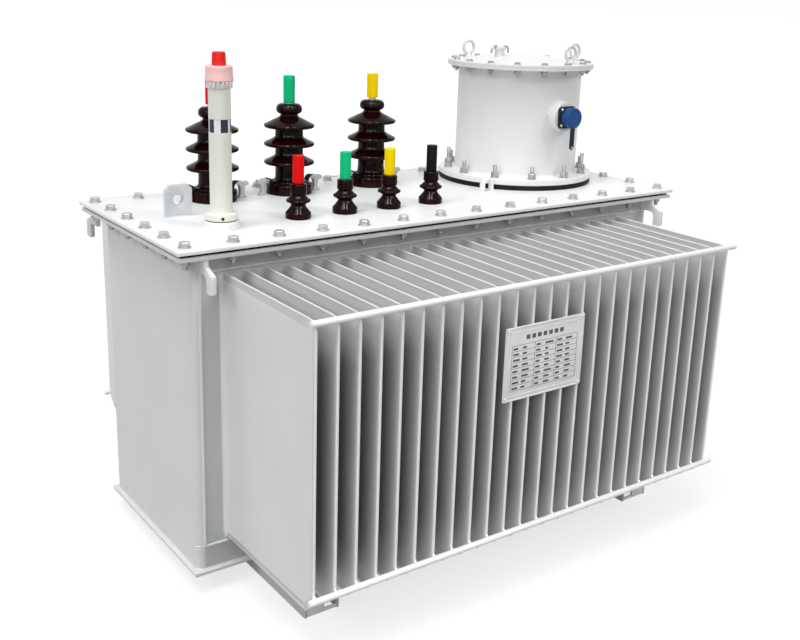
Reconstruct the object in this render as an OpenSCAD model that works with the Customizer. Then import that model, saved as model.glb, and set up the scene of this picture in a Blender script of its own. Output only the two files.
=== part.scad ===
// Oil-immersed distribution transformer: a welded tank with corrugated cooling
// fins on its two long sides, a bolted lid that carries the bushings and the
// oil gauge, and a round switch turret. Front is -Y, up is +Z, ground is z = 0.

/* [Tank] */
// Outside length of the tank
tank_l = 1266; // [1190:2:1500]
// Outside width of the tank
tank_w = 446; // [380:2:560]
// Height of the tank walls, base plate to rim
wall_h = 665; // [640:1:900]
// Thickness of the tank walls
wall_t = 5; // [3:0.5:10]
// Inside radius of the bent wall corners
bend_r = 11; // [4:1:24]
// Flat of an end wall past its bent corners
end_flat = 2; // [1:1:40]
// Thickness of the rim plate
rim_t = 8; // [5:1:16]
// Reach of the rim past the tank walls
rim_reach = 38; // [26:1:60]

/* [Base] */
// Thickness of the base plate
base_t = 8; // [5:1:20]
// Reach of the base plate past the walls
base_reach = 8; // [4:1:20]
// Width of a skid channel
skid_w = 80; // [60:1:120]
// Height of a skid channel
skid_h = 43; // [30:1:80]
// Thickness of a skid channel
skid_t = 6; // [4:0.5:10]
// Length of a skid channel
skid_l = 836; // [600:2:1000]
// Centre of a skid, in from the tank's end
skid_in = 178; // [100:1:300]

/* [Cooling fins] */
// Number of fins on a side
fin_n = 25; // [5:1:25]
// Distance between fins
fin_pitch = 45; // [30:0.5:46]
// Thickness of a fin
fin_t = 9; // [6:0.5:14]
// Thickness of a fin's pressed top and bottom edges
fin_edge_t = 4; // [3:0.5:6]
// Height over which an edge is pressed thin
fin_press_h = 20; // [12:1:40]
// Reach of a fin from the wall
fin_depth = 342; // [120:1:380]
// Clearance of a fin's top edge at the wall, under the rim
fin_top_gap = 41; // [30:1:120]
// Height of a fin's bottom edge over the base plate
fin_bottom = 61; // [40:1:120]
// Fall of the top edge from wall to tip
fin_top_fall = 2; // [0:1:30]
// Cut of a fin's bottom corner at the tip
fin_tip_cut = 28; // [8:1:60]
// Offset of the front fins from the tank's middle
fin_shift = -23; // [-23:1:23]
// Diameter of the round bars across the fin tips
rod_d = 13; // [8:1:20]
// Reach of a bar past the end fins
rod_over = 10; // [2:1:12]

/* [Lid] */
// Thickness of the lid plate
lid_t = 8; // [5:1:16]
// Reach of the lid past the rim
lid_reach = 4; // [2:1:20]
// Thickness of the lid gasket
gasket_t = 6; // [3:0.5:10]
// Width of the lid gasket
gasket_w = 24; // [16:1:26]
// Width of the lifting lug
lug_w = 60; // [50:1:90]
// Height of the lifting lug
lug_h = 68; // [50:1:90]
// Thickness of the lifting lug
lug_t = 10; // [6:1:16]
// Diameter of the lug's hole
lug_hole_d = 24; // [14:1:30]
// Height of the hole over the lid
lug_hole_z = 37; // [28:1:44]
// Cut of the lug's top corners
lug_cut = 15; // [4:1:20]
// Centre of the lug from the lid's left end
lug_end = 127; // [100:1:150]
// Centre of the lug across the lid
lug_y = 20; // [-40:1:60]
// Width of the small arched loop
loop_w = 34; // [26:1:44]
// Height of the small arched loop
loop_h = 34; // [26:1:44]
// Bar size of the small arched loop
loop_t = 7; // [4:0.5:10]
// Width of the bar the loop is bent from
loop_bar_w = 14; // [8:1:20]
// Centre of the loop, left of the turret's middle
loop_left = 194; // [194:1:240]
// Centre of the loop, in front of the turret's middle
loop_fore = 119; // [119:1:160]

/* [Hooks] */
// Thickness of a tank hook
hook_t = 10; // [6:1:16]
// Height of a tank hook
hook_h = 64; // [56:1:80]
// Reach of a tank hook from the wall
hook_reach = 64; // [54:1:80]
// Width of a hook's tongue
hook_tongue = 24; // [16:1:28]
// Corner radius of the slot behind the tongue
hook_slot_r = 11; // [4:1:16]
// Height of the slot behind the tongue
hook_slot_h = 33; // [24:1:40]
// Width of a hook's neck under the rim
hook_neck = 32; // [20:1:34]
// Height of a hook's neck
hook_neck_h = 13; // [4:1:14]
// Height of the sloping shoulder under the neck
hook_slope = 13; // [4:1:16]
// Radius of the tongue's outer corner
hook_round = 6; // [2:1:12]
// Front hooks, in from the tank's ends
front_hook_in = 18; // [18:1:22]
// Back hooks, out from the tank's ends
back_hook_out = 15; // [8:1:26]

/* [High-voltage bushings] */
// Middle of the row, right of the middle of the lid left of the turret
hv_shift = 30; // [0:1:60]
// Distance from the first bushing to the second
hv_gap_1 = 196; // [180:1:205]
// Distance from the second bushing to the third
hv_gap_2 = 232; // [180:1:240]
// Bushing row, in from the lid's back edge
hv_edge = 124; // [110:1:140]
// Diameter of the foot
hv_foot_d = 108; // [96:1:120]
// Height of the foot
hv_foot_h = 24; // [16:1:34]
// Height of the step on the foot
hv_step_h = 7; // [4:1:12]
// Diameter of the core
hv_core_d = 66; // [58:1:76]
// Height of the lowest shed's rim over the lid
hv_shed_z = 74; // [56:1:90]
// Number of sheds
hv_sheds = 3; // [1:1:5]
// Distance between sheds
hv_shed_pitch = 42.5; // [34:0.5:56]
// Diameter of the sheds
hv_shed_d = 118; // [96:1:130]
// Rise of a shed's top from its rim to the core
hv_shed_rise = 16; // [8:1:20]
// Radius of a shed's rounded rim
hv_rim_r = 3.5; // [2:0.5:5]
// Diameter of the neck under the head
hv_neck_d = 41; // [32:1:50]
// Height of the neck under the head
hv_neck_h = 9; // [4:1:20]
// Diameter of the head
hv_head_d = 59; // [54:1:70]
// Height of the head
hv_head_h = 26; // [20:1:40]
// Diameter of the coloured sleeve
hv_cap_d = 27; // [20:1:34]
// Height of the coloured sleeve
hv_cap_h = 63; // [40:1:80]
// Width of a clamp claw
claw_w = 24; // [14:1:34]
// Thickness of a claw's leg
claw_leg = 18; // [10:1:22]
// Thickness of a claw's arm
claw_arm = 10; // [6:1:16]
// Clearance between a claw's leg and the foot
claw_gap = 7; // [3:1:10]
// Reach of a claw's nose over the foot
claw_bite = 9; // [5:1:10]
// Height of a claw's nose under its arm
claw_nose = 5; // [2:1:10]
// Reach of a claw's ear and toe past its leg
claw_ear = 8; // [4:1:10]
// Height of a claw's ear
claw_ear_h = 9; // [6:1:12]
// Height of a claw's toe
claw_toe_h = 4; // [2:1:8]

/* [Low-voltage bushings] */
// Number of bushings
lv_n = 4; // [1:1:4]
// First bushing, in from the lid's left end
lv_end = 340; // [320:1:360]
// Distance between bushings
lv_pitch = 116.5; // [80:0.5:120]
// Bushing row, in from the lid's front edge
lv_edge = 154; // [130:1:170]
// Diameter of the foot
lv_foot_d = 54; // [46:1:64]
// Height of the foot
lv_foot_h = 13; // [8:1:20]
// Height of the cone from foot to waist
lv_cone_h = 15; // [8:1:24]
// Diameter of the waist
lv_waist_d = 31; // [24:1:38]
// Height from the waist to the shed's rim
lv_under_h = 10; // [6:1:18]
// Diameter of the shed
lv_shed_d = 52; // [44:1:62]
// Height from the shed's rim to the head
lv_over_h = 12; // [6:1:20]
// Diameter of the head
lv_head_d = 35; // [31:1:42]
// Height of the head
lv_head_h = 24; // [16:1:36]
// Diameter of the coloured sleeve
lv_cap_d = 24; // [18:1:28]
// Height of the coloured sleeve
lv_cap_h = 59; // [40:1:80]

/* [Oil gauge] */
// Centre of the gauge, in from the lid's left end
gauge_end = 157; // [130:1:170]
// Centre of the gauge, in from the lid's front edge
gauge_edge = 143; // [120:1:170]
// Diameter of the boss welded to the lid
gauge_boss_d = 74; // [64:1:84]
// Height of the boss welded to the lid
gauge_boss_h = 18; // [6:1:24]
// Diameter of the collar on the boss
gauge_collar_d = 66; // [54:1:70]
// Height of the collar on the boss
gauge_collar_h = 15; // [8:1:34]
// Diameter of the tube
gauge_tube_d = 44; // [36:1:50]
// Height of the tube's top over the lid
gauge_tube_h = 278; // [200:1:320]
// Diameter of the ribbed clear ring
gauge_ring_d = 52; // [46:1:60]
// Height of the ribbed clear ring
gauge_ring_h = 14; // [8:1:20]
// Depth of the ring's grooves
gauge_groove = 2; // [1:0.5:4]
// Diameter of the pink cap
gauge_cap_d = 56; // [48:1:64]
// Height of the pink cap
gauge_cap_h = 29; // [20:1:40]
// Diameter of the red relief knob
gauge_knob_d = 28; // [20:1:36]
// Height of the red relief knob
gauge_knob_h = 26; // [16:1:36]

/* [Turret] */
// Centre of the turret, in from the lid's right end
turret_end = 253; // [230:1:265]
// Foot flange of the turret, in from the lid's back edge
turret_edge = 6; // [0:1:30]
// Diameter of the turret wall
turret_d = 316; // [280:1:330]
// Thickness of the turret wall
turret_t = 5; // [3:0.5:8]
// Height of the turret, lid to cover
turret_h = 296; // [240:1:360]
// Diameter of the foot flange
turret_foot_d = 398; // [380:1:406]
// Diameter of the top flange and cover
turret_top_d = 374; // [360:1:386]
// Thickness of the foot flange
turret_foot_t = 14; // [6:1:20]
// Thickness of the top flange
turret_top_t = 6; // [4:1:14]
// Thickness of the foot gasket
turret_gasket_t = 12; // [4:1:16]
// Thickness of the cover at its edge
cover_t = 8; // [5:1:12]
// Diameter of the cover's dome
dome_d = 310; // [240:1:340]
// Rise of the cover's dome
dome_rise = 14; // [6:1:24]
// Ring diameter of an eye bolt, outside
eye_d = 42; // [34:1:50]
// Bar diameter of an eye bolt's ring
eye_bar = 8; // [6:0.5:10]
// Radius of the circle of eye bolts
eye_r = 148; // [120:1:160]
// Turn of the first eye bolt round the cover
eye_angle_1 = 116; // [60:1:140]
// Turn of the second eye bolt round the cover
eye_angle_2 = 284; // [260:1:300]
// Turn of the third eye bolt round the cover
eye_angle_3 = 338; // [320:1:360]
// Diameter of an eye bolt's foot
eye_foot_d = 20; // [14:1:26]
// Height of an eye bolt's foot
eye_foot_h = 8; // [6:1:14]
// Diameter of the vent plug
vent_d = 30; // [24:1:36]
// Height of the vent plug
vent_h = 22; // [16:1:30]
// Distance of the vent plug from the cover's middle
vent_r = 72; // [40:1:90]

/* [Cable connector] */
// Height of the connector over the lid
plug_z = 178; // [140:1:200]
// Diameter of the boss on the turret
plug_boss_d = 74; // [68:1:84]
// Reach of the boss past the turret wall
plug_boss_l = 20; // [12:1:30]
// Side of the square connector flange
plug_flange_w = 54; // [50:1:60]
// Corner radius of the connector flange
plug_flange_r = 11; // [4:1:20]
// Thickness of the connector flange
plug_flange_t = 7; // [4:1:10]
// Diameter of the screw cap
plug_cap_d = 50; // [40:1:54]
// Length of the screw cap
plug_cap_l = 36; // [24:1:46]
// Depth of the step at each end of the cap
plug_lip = 2; // [1:0.5:4]
// Width of the step at each end of the cap
plug_lip_w = 6; // [3:1:9]
// Length of the hanging strap under the cap
strap_l = 52; // [36:1:70]
// Width of the hanging strap
strap_w = 13; // [10:1:18]
// Thickness of the hanging strap
strap_t = 5; // [3:0.5:8]
// Diameter of the hole in the strap's end
strap_hole_d = 6; // [3:0.5:7]
// Distance of the strap behind the cap's front
strap_back = 10; // [9:1:14]

/* [Nameplate] */
// Width of the nameplate
plate_w = 212; // [140:1:260]
// Height of the nameplate
plate_h = 154; // [100:1:200]
// Thickness of the nameplate
plate_t = 2; // [1:0.5:4]
// Centre of the nameplate along the tank
plate_x = -34; // [-120:1:120]
// Centre of the nameplate, under the fins' top edges
plate_drop = 163; // [120:1:260]

/* [Hidden] */
$fn = 64;

// Levels, from the ground up
base_z = skid_h;
wall_z = base_z + base_t;
rim_z = wall_z + wall_h;
gasket_z = rim_z + rim_t;
lid_z = gasket_z + gasket_t;
lid_top = lid_z + lid_t;

// Plan sizes that follow from the tank
rim_l = tank_l + 2 * rim_reach;
rim_w = tank_w + 2 * rim_reach;
lid_l = rim_l + 2 * lid_reach;
lid_w = rim_w + 2 * lid_reach;
wall_y = tank_w / 2;
fin_row = (fin_n - 1) * fin_pitch;
fin_top = wall_h - fin_top_gap;
plate_z = fin_top - plate_drop;
skid_x = tank_l / 2 - skid_in;
tip_y = wall_y + fin_depth;
rod_y = tip_y + rod_d / 2;
low_rod_z = fin_bottom + fin_tip_cut + rod_d / 2;
corner_r = bend_r + wall_t;
end_return = corner_r + end_flat;
seat_gap = 0.2;

// Places on the lid, from its edges
lug_x = lug_end - lid_l / 2;
turret_x = lid_l / 2 - turret_end;
hv_mid_x = (turret_x - turret_foot_d / 2 - lid_l / 2) / 2 + hv_shift;
hv_1_x = hv_mid_x - (hv_gap_1 + hv_gap_2) / 2;
hv_2_x = hv_1_x + hv_gap_1;
hv_3_x = hv_2_x + hv_gap_2;
lv_x = lv_end - lid_l / 2;
hv_y = lid_w / 2 - hv_edge;
lv_y = lv_edge - lid_w / 2;
gauge_x = gauge_end - lid_l / 2;
gauge_y = gauge_edge - lid_w / 2;
turret_y = lid_w / 2 - turret_foot_d / 2 - turret_edge;
plug_y = turret_d / 2 + plug_boss_l;

// Bushing heights from their stacked profiles
hv_top_shed_z = hv_shed_z + (hv_sheds - 1) * hv_shed_pitch;
hv_neck_z = hv_top_shed_z + hv_shed_rise;
hv_head_z = hv_neck_z + hv_neck_h;
hv_h = hv_head_z + hv_head_h;
lv_waist_z = lv_foot_h + lv_cone_h;
lv_shed_z = lv_waist_z + lv_under_h;
lv_head_z = lv_shed_z + lv_over_h;
lv_h = lv_head_z + lv_head_h;
gauge_seat_z = gauge_boss_h + gauge_collar_h;

// Step on a high-voltage foot, clear of the claws' noses
step_clear = 2;
hv_step_r = hv_foot_d / 2 - claw_bite - step_clear;

// Small radii of glazed and moulded edges
glaze_r = 3;
head_r = 9;
soft_r = 2.5;

paint = "lightgray";
porcelain = [0.20, 0.06, 0.04];
cover_white = [0.93, 0.94, 0.94];
zinc = [0.72, 0.73, 0.74];
rubber_black = [0.10, 0.10, 0.10];

function on_circle(r, a) = [r * cos(a), r * sin(a)];
function arc(c, r, a0, a1, n) = [for (i = [0 : n]) c + on_circle(r, a0 + (a1 - a0) * i / n)];

// Skid: a channel laid with its web up and its legs on the ground
module skid(x) {
    color(paint)
    translate([x, skid_l / 2, 0]) rotate([90, 0, 0]) linear_extrude(skid_l)
        difference() {
            translate([-skid_w / 2, 0]) square([skid_w, skid_h]);
            translate([-skid_w / 2 + skid_t, -1]) square([skid_w - 2 * skid_t, skid_h - skid_t + 1]);
        }
}

module base_plate() {
    color(paint)
    translate([-tank_l / 2 - base_reach, -tank_w / 2 - base_reach, base_z])
        cube([tank_l + 2 * base_reach, tank_w + 2 * base_reach, base_t]);
}

module rounded_rect(l, w, r) {
    square([l - 2 * r, w], center = true);
    square([l, w - 2 * r], center = true);
    for (x = [-1, 1], y = [-1, 1]) translate([x * (l / 2 - r), y * (w / 2 - r)]) circle(r);
}

// End wall: one plate bent round both corners, welded to the long walls
module end_wall(side) {
    color(paint)
    translate([0, 0, wall_z]) linear_extrude(wall_h)
        intersection() {
            difference() {
                rounded_rect(tank_l, tank_w, corner_r);
                rounded_rect(tank_l - 2 * wall_t, tank_w - 2 * wall_t, bend_r);
            }
            translate([side * (tank_l / 2 - end_return / 2), 0])
                square([end_return, tank_w], center = true);
        }
}

// Long wall: the flat sheet between the two end walls
module long_wall(side) {
    wall_l = tank_l - 2 * end_return;
    color(paint)
    translate([-wall_l / 2, side > 0 ? wall_y - wall_t : -wall_y, wall_z])
        cube([wall_l, wall_t, wall_h]);
}

// Side view of one fin edge: pressed thin at the edge, full below it
module fin_edge_section(reach) {
    polygon([[-fin_edge_t / 2, 0], [fin_edge_t / 2, 0], [fin_t / 2, -fin_press_h],
        [fin_t / 2, -reach], [-fin_t / 2, -reach], [-fin_t / 2, -fin_press_h]]);
}

// Fin: folded sheet with a round front fold, its top and bottom edges pressed
// thin, the top falling a little and the bottom corner cut off at the tip
module fin() {
    fin_h = fin_top - fin_bottom;
    fall = atan(fin_top_fall / fin_depth);
    run = 2 * fin_depth;
    cut = fin_tip_cut * sqrt(2);
    intersection() {
        difference() {
            translate([0, 0, fin_bottom]) linear_extrude(fin_h) {
                translate([-fin_t / 2, 0]) square([fin_t, fin_depth - fin_t / 2]);
                translate([0, fin_depth - fin_t / 2]) circle(fin_t / 2);
            }
            translate([0, fin_depth, fin_bottom]) rotate([45, 0, 0])
                cube([2 * fin_t, cut, cut], center = true);
        }
        translate([0, 0, fin_top]) rotate([-fall, 0, 0]) translate([0, fin_depth * 1.5, 0])
            rotate([90, 0, 0]) linear_extrude(run) fin_edge_section(fin_h * 1.5);
        translate([0, fin_depth * 1.5, fin_bottom]) rotate([90, 0, 0])
            linear_extrude(run) mirror([0, 1]) fin_edge_section(fin_h * 1.5);
    }
}

// One side's fins, in the back side's own direction: +Y is outwards
module fin_bank() {
    for (i = [0 : fin_n - 1])
        translate([-fin_shift - fin_row / 2 + i * fin_pitch, wall_y, wall_z]) fin();
}

// Bars across the fin tips, one along the top corners and one over the cut corners
module rod_pair() {
    rod_l = fin_row + fin_t + 2 * rod_over;
    for (z = [fin_top - fin_top_fall, low_rod_z])
        translate([-fin_shift - rod_l / 2, rod_y + seat_gap, wall_z + z])
            rotate([0, 90, 0]) cylinder(d = rod_d, h = rod_l);
}

module front_fins() { color(paint) rotate(180) fin_bank(); }
module back_fins() { color(paint) fin_bank(); }
module front_rods() { color(cover_white) rotate(180) rod_pair(); }
module back_rods() { color(cover_white) rod_pair(); }

// Hook plate, seen from its side: +X is outwards from the wall, y = 0 is the
// rim's underside. A neck, a sloping shoulder and a tongue with a slot behind it
module hook_outline() {
    slot_x = hook_reach - hook_tongue;
    slot_z = hook_slot_h - hook_h;
    polygon(concat(
        [[0, 0], [hook_neck, 0], [hook_neck, -hook_neck_h],
            [hook_reach, -hook_neck_h - hook_slope]],
        arc([hook_reach - hook_round, hook_round - hook_h], hook_round, 0, -90, 6),
        [[slot_x, -hook_h]],
        arc([slot_x - hook_slot_r, slot_z - hook_slot_r], hook_slot_r, 0, 90, 8),
        [[0, slot_z]]));
}

module hook(x) {
    translate([x + hook_t / 2, wall_y, rim_z]) rotate([90, 0, -90]) mirror([1, 0, 0])
        linear_extrude(hook_t) hook_outline();
}

module front_hooks() {
    color(paint) mirror([0, 1, 0]) for (s = [-1, 1]) hook(s * (tank_l / 2 - front_hook_in));
}

module back_hooks() {
    color(paint) for (s = [-1, 1]) hook(s * (tank_l / 2 + back_hook_out));
}

// Rim: the flat frame welded round the top of the walls
module tank_rim() {
    color(paint)
    translate([0, 0, rim_z]) linear_extrude(rim_t)
        difference() {
            square([rim_l, rim_w], center = true);
            rounded_rect(tank_l - 2 * wall_t, tank_w - 2 * wall_t, bend_r);
        }
}

module lid_gasket() {
    set_in = rim_reach - gasket_w;
    color(rubber_black)
    translate([0, 0, gasket_z]) linear_extrude(gasket_t)
        difference() {
            square([rim_l - set_in, rim_w - set_in], center = true);
            square([rim_l - set_in - 2 * gasket_w, rim_w - set_in - 2 * gasket_w], center = true);
        }
}

module lid() {
    color(cover_white)
    translate([-lid_l / 2, -lid_w / 2, lid_z]) cube([lid_l, lid_w, lid_t]);
}

// Lifting lug: an upright plate with cut corners and a round hole
module lid_lug() {
    color(paint)
    translate([lug_x, lug_y + lug_t / 2, lid_top]) rotate([90, 0, 0]) linear_extrude(lug_t)
        difference() {
            polygon([[-lug_w / 2, 0], [lug_w / 2, 0], [lug_w / 2, lug_h - lug_cut],
                [lug_w / 2 - lug_cut, lug_h], [lug_cut - lug_w / 2, lug_h], [-lug_w / 2, lug_h - lug_cut]]);
            translate([0, lug_hole_z]) circle(d = lug_hole_d);
        }
}

// Small arched loop of flat bar that stands in front of the turret
module lid_loop() {
    color(paint)
    turret_place(0) translate([-loop_left, loop_bar_w / 2 - loop_fore, 0]) rotate([90, 0, 0])
        linear_extrude(loop_bar_w)
        difference() {
            arch(loop_w, loop_h);
            translate([0, -1]) arch(loop_w - 2 * loop_t, loop_h - loop_t + 1);
        }
}

module arch(w, h) {
    translate([-w / 2, 0]) square([w, h - w / 2]);
    translate([0, h - w / 2]) circle(d = w);
}

// Profile points of one porcelain shed: near-flat underside, round rim, sloping top
function shed(z, r_in, r_out, rise) = concat(
    [[r_in, z - hv_rim_r]],
    arc([r_out - hv_rim_r, z], hv_rim_r, -90, 60, 5),
    [[r_in + glaze_r, z + rise - glaze_r], [r_in, z + rise]]);

// High-voltage porcelain: stepped foot with a flat ledge, core with sheds, neck and head
module hv_porcelain(x) {
    foot_r = hv_foot_d / 2;
    core_r = hv_core_d / 2;
    step_z = hv_foot_h + hv_step_h;
    head_out = hv_head_d / 2;
    color(porcelain)
    translate([x, hv_y, lid_top]) rotate_extrude()
        polygon(concat(
            [[0, 0], [foot_r, 0]],
            arc([foot_r - glaze_r, hv_foot_h - glaze_r], glaze_r, 0, 90, 4),
            [[hv_step_r, hv_foot_h]],
            arc([hv_step_r - glaze_r, step_z - glaze_r], glaze_r, 0, 90, 4),
            [[core_r, step_z]],
            [for (i = [0 : hv_sheds - 1]) each
                shed(hv_shed_z + i * hv_shed_pitch, core_r, hv_shed_d / 2, hv_shed_rise)],
            [[hv_neck_d / 2, hv_neck_z + glaze_r], [hv_neck_d / 2, hv_head_z]],
            arc([head_out - glaze_r, hv_head_z + glaze_r], glaze_r, -90, 0, 4),
            arc([head_out - head_r, hv_h - head_r], head_r, 0, 90, 6),
            [[0, hv_h]]));
}

module sleeve(d, h) {
    rotate_extrude() polygon(concat([[0, 0], [d / 2, 0]],
        arc([d / 2 - soft_r, h - soft_r], soft_r, 0, 90, 4), [[0, h]]));
}

module hv_cap(x, tint) {
    color(tint) translate([x, hv_y, lid_top + hv_h]) sleeve(hv_cap_d, hv_cap_h);
}

// Clamps: two cast claws to each high-voltage foot, each with a leg and toe on the
// lid, an ear at its back and a round nose on the ledge
module hv_clamps() {
    foot_r = hv_foot_d / 2;
    leg_in = foot_r + claw_gap;
    leg_out = leg_in + claw_leg;
    ear_out = leg_out + claw_ear;
    nose_in = foot_r - claw_bite;
    nose_z = hv_foot_h + seat_gap;
    arm_z = nose_z + claw_nose;
    top_z = arm_z + claw_arm;
    color(zinc)
    for (x = [hv_1_x, hv_2_x, hv_3_x], turn = [0, 180])
        translate([x, hv_y, lid_top]) rotate(turn) translate([0, claw_w / 2, 0])
        rotate([90, 0, 0]) linear_extrude(claw_w)
            polygon(concat(
                [[leg_in, 0], [ear_out, 0], [ear_out, claw_toe_h], [leg_out, claw_toe_h + glaze_r],
                    [leg_out, top_z - claw_ear_h - glaze_r], [ear_out, top_z - claw_ear_h]],
                arc([ear_out - glaze_r, top_z - glaze_r], glaze_r, 0, 90, 4),
                arc([nose_in + head_r, top_z - head_r], head_r, 90, 180, 6),
                [[nose_in, nose_z], [foot_r - glaze_r, nose_z], [foot_r - glaze_r, arm_z]],
                arc([leg_in - glaze_r, arm_z - glaze_r], glaze_r, 90, 0, 4)));
}

// Low-voltage porcelain: foot, cone to a waist, one sharp shed and a ringed head
module lv_porcelain() {
    rotate_extrude()
        polygon(concat(
            [[0, 0], [lv_foot_d / 2, 0]],
            arc([lv_foot_d / 2 - glaze_r, lv_foot_h - glaze_r], glaze_r, 0, 50, 3),
            [[lv_waist_d / 2, lv_waist_z]],
            arc([lv_shed_d / 2 - soft_r, lv_shed_z], soft_r, -50, 50, 4),
            [[lv_head_d / 2 - glaze_r, lv_head_z]],
            arc([lv_head_d / 2 - soft_r, lv_head_z + soft_r], soft_r, -60, 0, 3),
            arc([lv_head_d / 2 - soft_r, lv_h - soft_r], soft_r, 0, 90, 4),
            [[0, lv_h]]));
}

module lv_porcelains() {
    color(porcelain)
    for (i = [0 : lv_n - 1]) translate([lv_x + i * lv_pitch, lv_y, lid_top]) lv_porcelain();
}

module lv_cap(i, tint) {
    color(tint) translate([lv_x + i * lv_pitch, lv_y, lid_top + lv_h]) sleeve(lv_cap_d, lv_cap_h);
}

// Oil gauge: boss and collar, clear-white tube, ribbed ring, cap and relief knob
module gauge_place(z) { translate([gauge_x, gauge_y, lid_top + z]) children(); }

module gauge_boss() {
    color("ivory")
    gauge_place(0) difference() {
        union() {
            cylinder(d = gauge_boss_d, h = gauge_boss_h);
            cylinder(d = gauge_collar_d, h = gauge_seat_z);
        }
        translate([0, 0, -1]) cylinder(d = gauge_tube_d + 2 * seat_gap, h = gauge_seat_z + 2);
    }
}

module gauge_tube() {
    color("ivory") gauge_place(0) cylinder(d = gauge_tube_d, h = gauge_tube_h);
}

module gauge_ring() {
    ribs = 4;
    rib_h = gauge_ring_h / ribs;
    color("gainsboro")
    gauge_place(gauge_tube_h) rotate_extrude() polygon(concat(
        [[0, 0]],
        [for (i = [0 : ribs - 1]) each [
            [gauge_ring_d / 2 - gauge_groove, rib_h * i],
            [gauge_ring_d / 2, rib_h * (i + 0.3)],
            [gauge_ring_d / 2, rib_h * (i + 0.7)]]],
        [[gauge_ring_d / 2 - gauge_groove, gauge_ring_h], [0, gauge_ring_h]]));
}

module gauge_cap() {
    color("pink") gauge_place(gauge_tube_h + gauge_ring_h) sleeve(gauge_cap_d, gauge_cap_h);
}

module gauge_knob() {
    color("red") gauge_place(gauge_tube_h + gauge_ring_h + gauge_cap_h) sleeve(gauge_knob_d, gauge_knob_h);
}

// Turret: gasket, welded drum with two flanges and a connector boss, domed cover
module turret_place(z) { translate([turret_x, turret_y, lid_top + z]) children(); }

module turret_gasket() {
    color(rubber_black)
    turret_place(0) difference() {
        cylinder(d = turret_foot_d, h = turret_gasket_t);
        translate([0, 0, -1]) cylinder(d = turret_d - 2 * turret_t, h = turret_gasket_t + 2);
    }
}

module turret_body() {
    bore_r = turret_d / 2 - turret_t;
    drum_h = turret_h - turret_gasket_t;
    color(cover_white)
    difference() {
        union() {
            turret_place(turret_gasket_t) rotate_extrude() polygon([
                [bore_r, 0], [turret_foot_d / 2, 0], [turret_foot_d / 2, turret_foot_t],
                [turret_d / 2, turret_foot_t], [turret_d / 2, drum_h - turret_top_t],
                [turret_top_d / 2, drum_h - turret_top_t], [turret_top_d / 2, drum_h], [bore_r, drum_h]]);
            turret_place(plug_z) rotate([90, 0, 0]) cylinder(d = plug_boss_d, h = plug_y);
        }
        turret_place(turret_gasket_t) cylinder(r = bore_r, h = drum_h);
    }
}

// Solid of the cover, also cut from the pieces that stand on its dome
module cover_solid() {
    dome_r = ((dome_d / 2) ^ 2 + dome_rise ^ 2) / (2 * dome_rise);
    half = asin(dome_d / 2 / dome_r);
    turret_place(turret_h) rotate_extrude()
        polygon(concat([[0, 0], [turret_top_d / 2, 0], [turret_top_d / 2, cover_t]],
            arc([0, cover_t + dome_rise - dome_r], dome_r, 90 - half, 90, 12)));
}

module turret_cover() { color(cover_white) cover_solid(); }

// Eye bolt: a forged ring on a round foot
module eye_bolt() {
    cylinder(d = eye_foot_d, h = eye_foot_h);
    translate([0, 0, eye_foot_h + eye_d / 2 - eye_bar / 2]) rotate([90, 0, 0])
        rotate_extrude() translate([(eye_d - eye_bar) / 2, 0]) circle(d = eye_bar, $fn = 32);
}

module turret_eye_bolts() {
    color(zinc)
    difference() {
        for (turn = [eye_angle_1, eye_angle_2, eye_angle_3])
            turret_place(turret_h + cover_t) translate(on_circle(eye_r, turn)) eye_bolt();
        cover_solid();
    }
}

// Vent plug: a capped stub that stands on the dome
module vent_plug() {
    color(cover_white)
    difference() {
        turret_place(turret_h + cover_t) translate([-vent_r, 0, 0])
            cylinder(d = vent_d, h = dome_rise + vent_h);
        cover_solid();
    }
}

// Cable connector on the turret's front: square flange, screw cap and its strap
module plug_place(reach) { turret_place(plug_z) translate([0, -plug_y - reach, 0]) children(); }

module connector_flange() {
    color(rubber_black)
    plug_place(0) rotate([90, 0, 0]) linear_extrude(plug_flange_t)
        rounded_rect(plug_flange_w, plug_flange_w, plug_flange_r);
}

module cap_solid() {
    plug_place(plug_flange_t) rotate([90, 0, 0]) union() {
        cylinder(d = plug_cap_d - 2 * plug_lip, h = plug_cap_l);
        translate([0, 0, plug_lip_w]) cylinder(d = plug_cap_d, h = plug_cap_l - 2 * plug_lip_w);
    }
}

module connector_cap() { color("royalblue") cap_solid(); }

// Strap: a flat tail that hangs from the cap's underside, with a tie hole
module connector_strap() {
    end_z = strap_w / 2 - plug_cap_d / 2 - strap_l;
    color(rubber_black)
    difference() {
        plug_place(plug_flange_t + plug_cap_l - strap_back - strap_t / 2) rotate([90, 0, 0])
            linear_extrude(strap_t)
            difference() {
                union() {
                    translate([0, end_z]) circle(d = strap_w);
                    translate([-strap_w / 2, end_z]) square([strap_w, -end_z]);
                }
                translate([0, end_z]) circle(d = strap_hole_d);
            }
        cap_solid();
    }
}

module nameplate() {
    color("silver")
    translate([plate_x - plate_w / 2, -tip_y - plate_t - seat_gap, wall_z + plate_z - plate_h / 2])
        cube([plate_w, plate_t, plate_h]);
}

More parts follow.
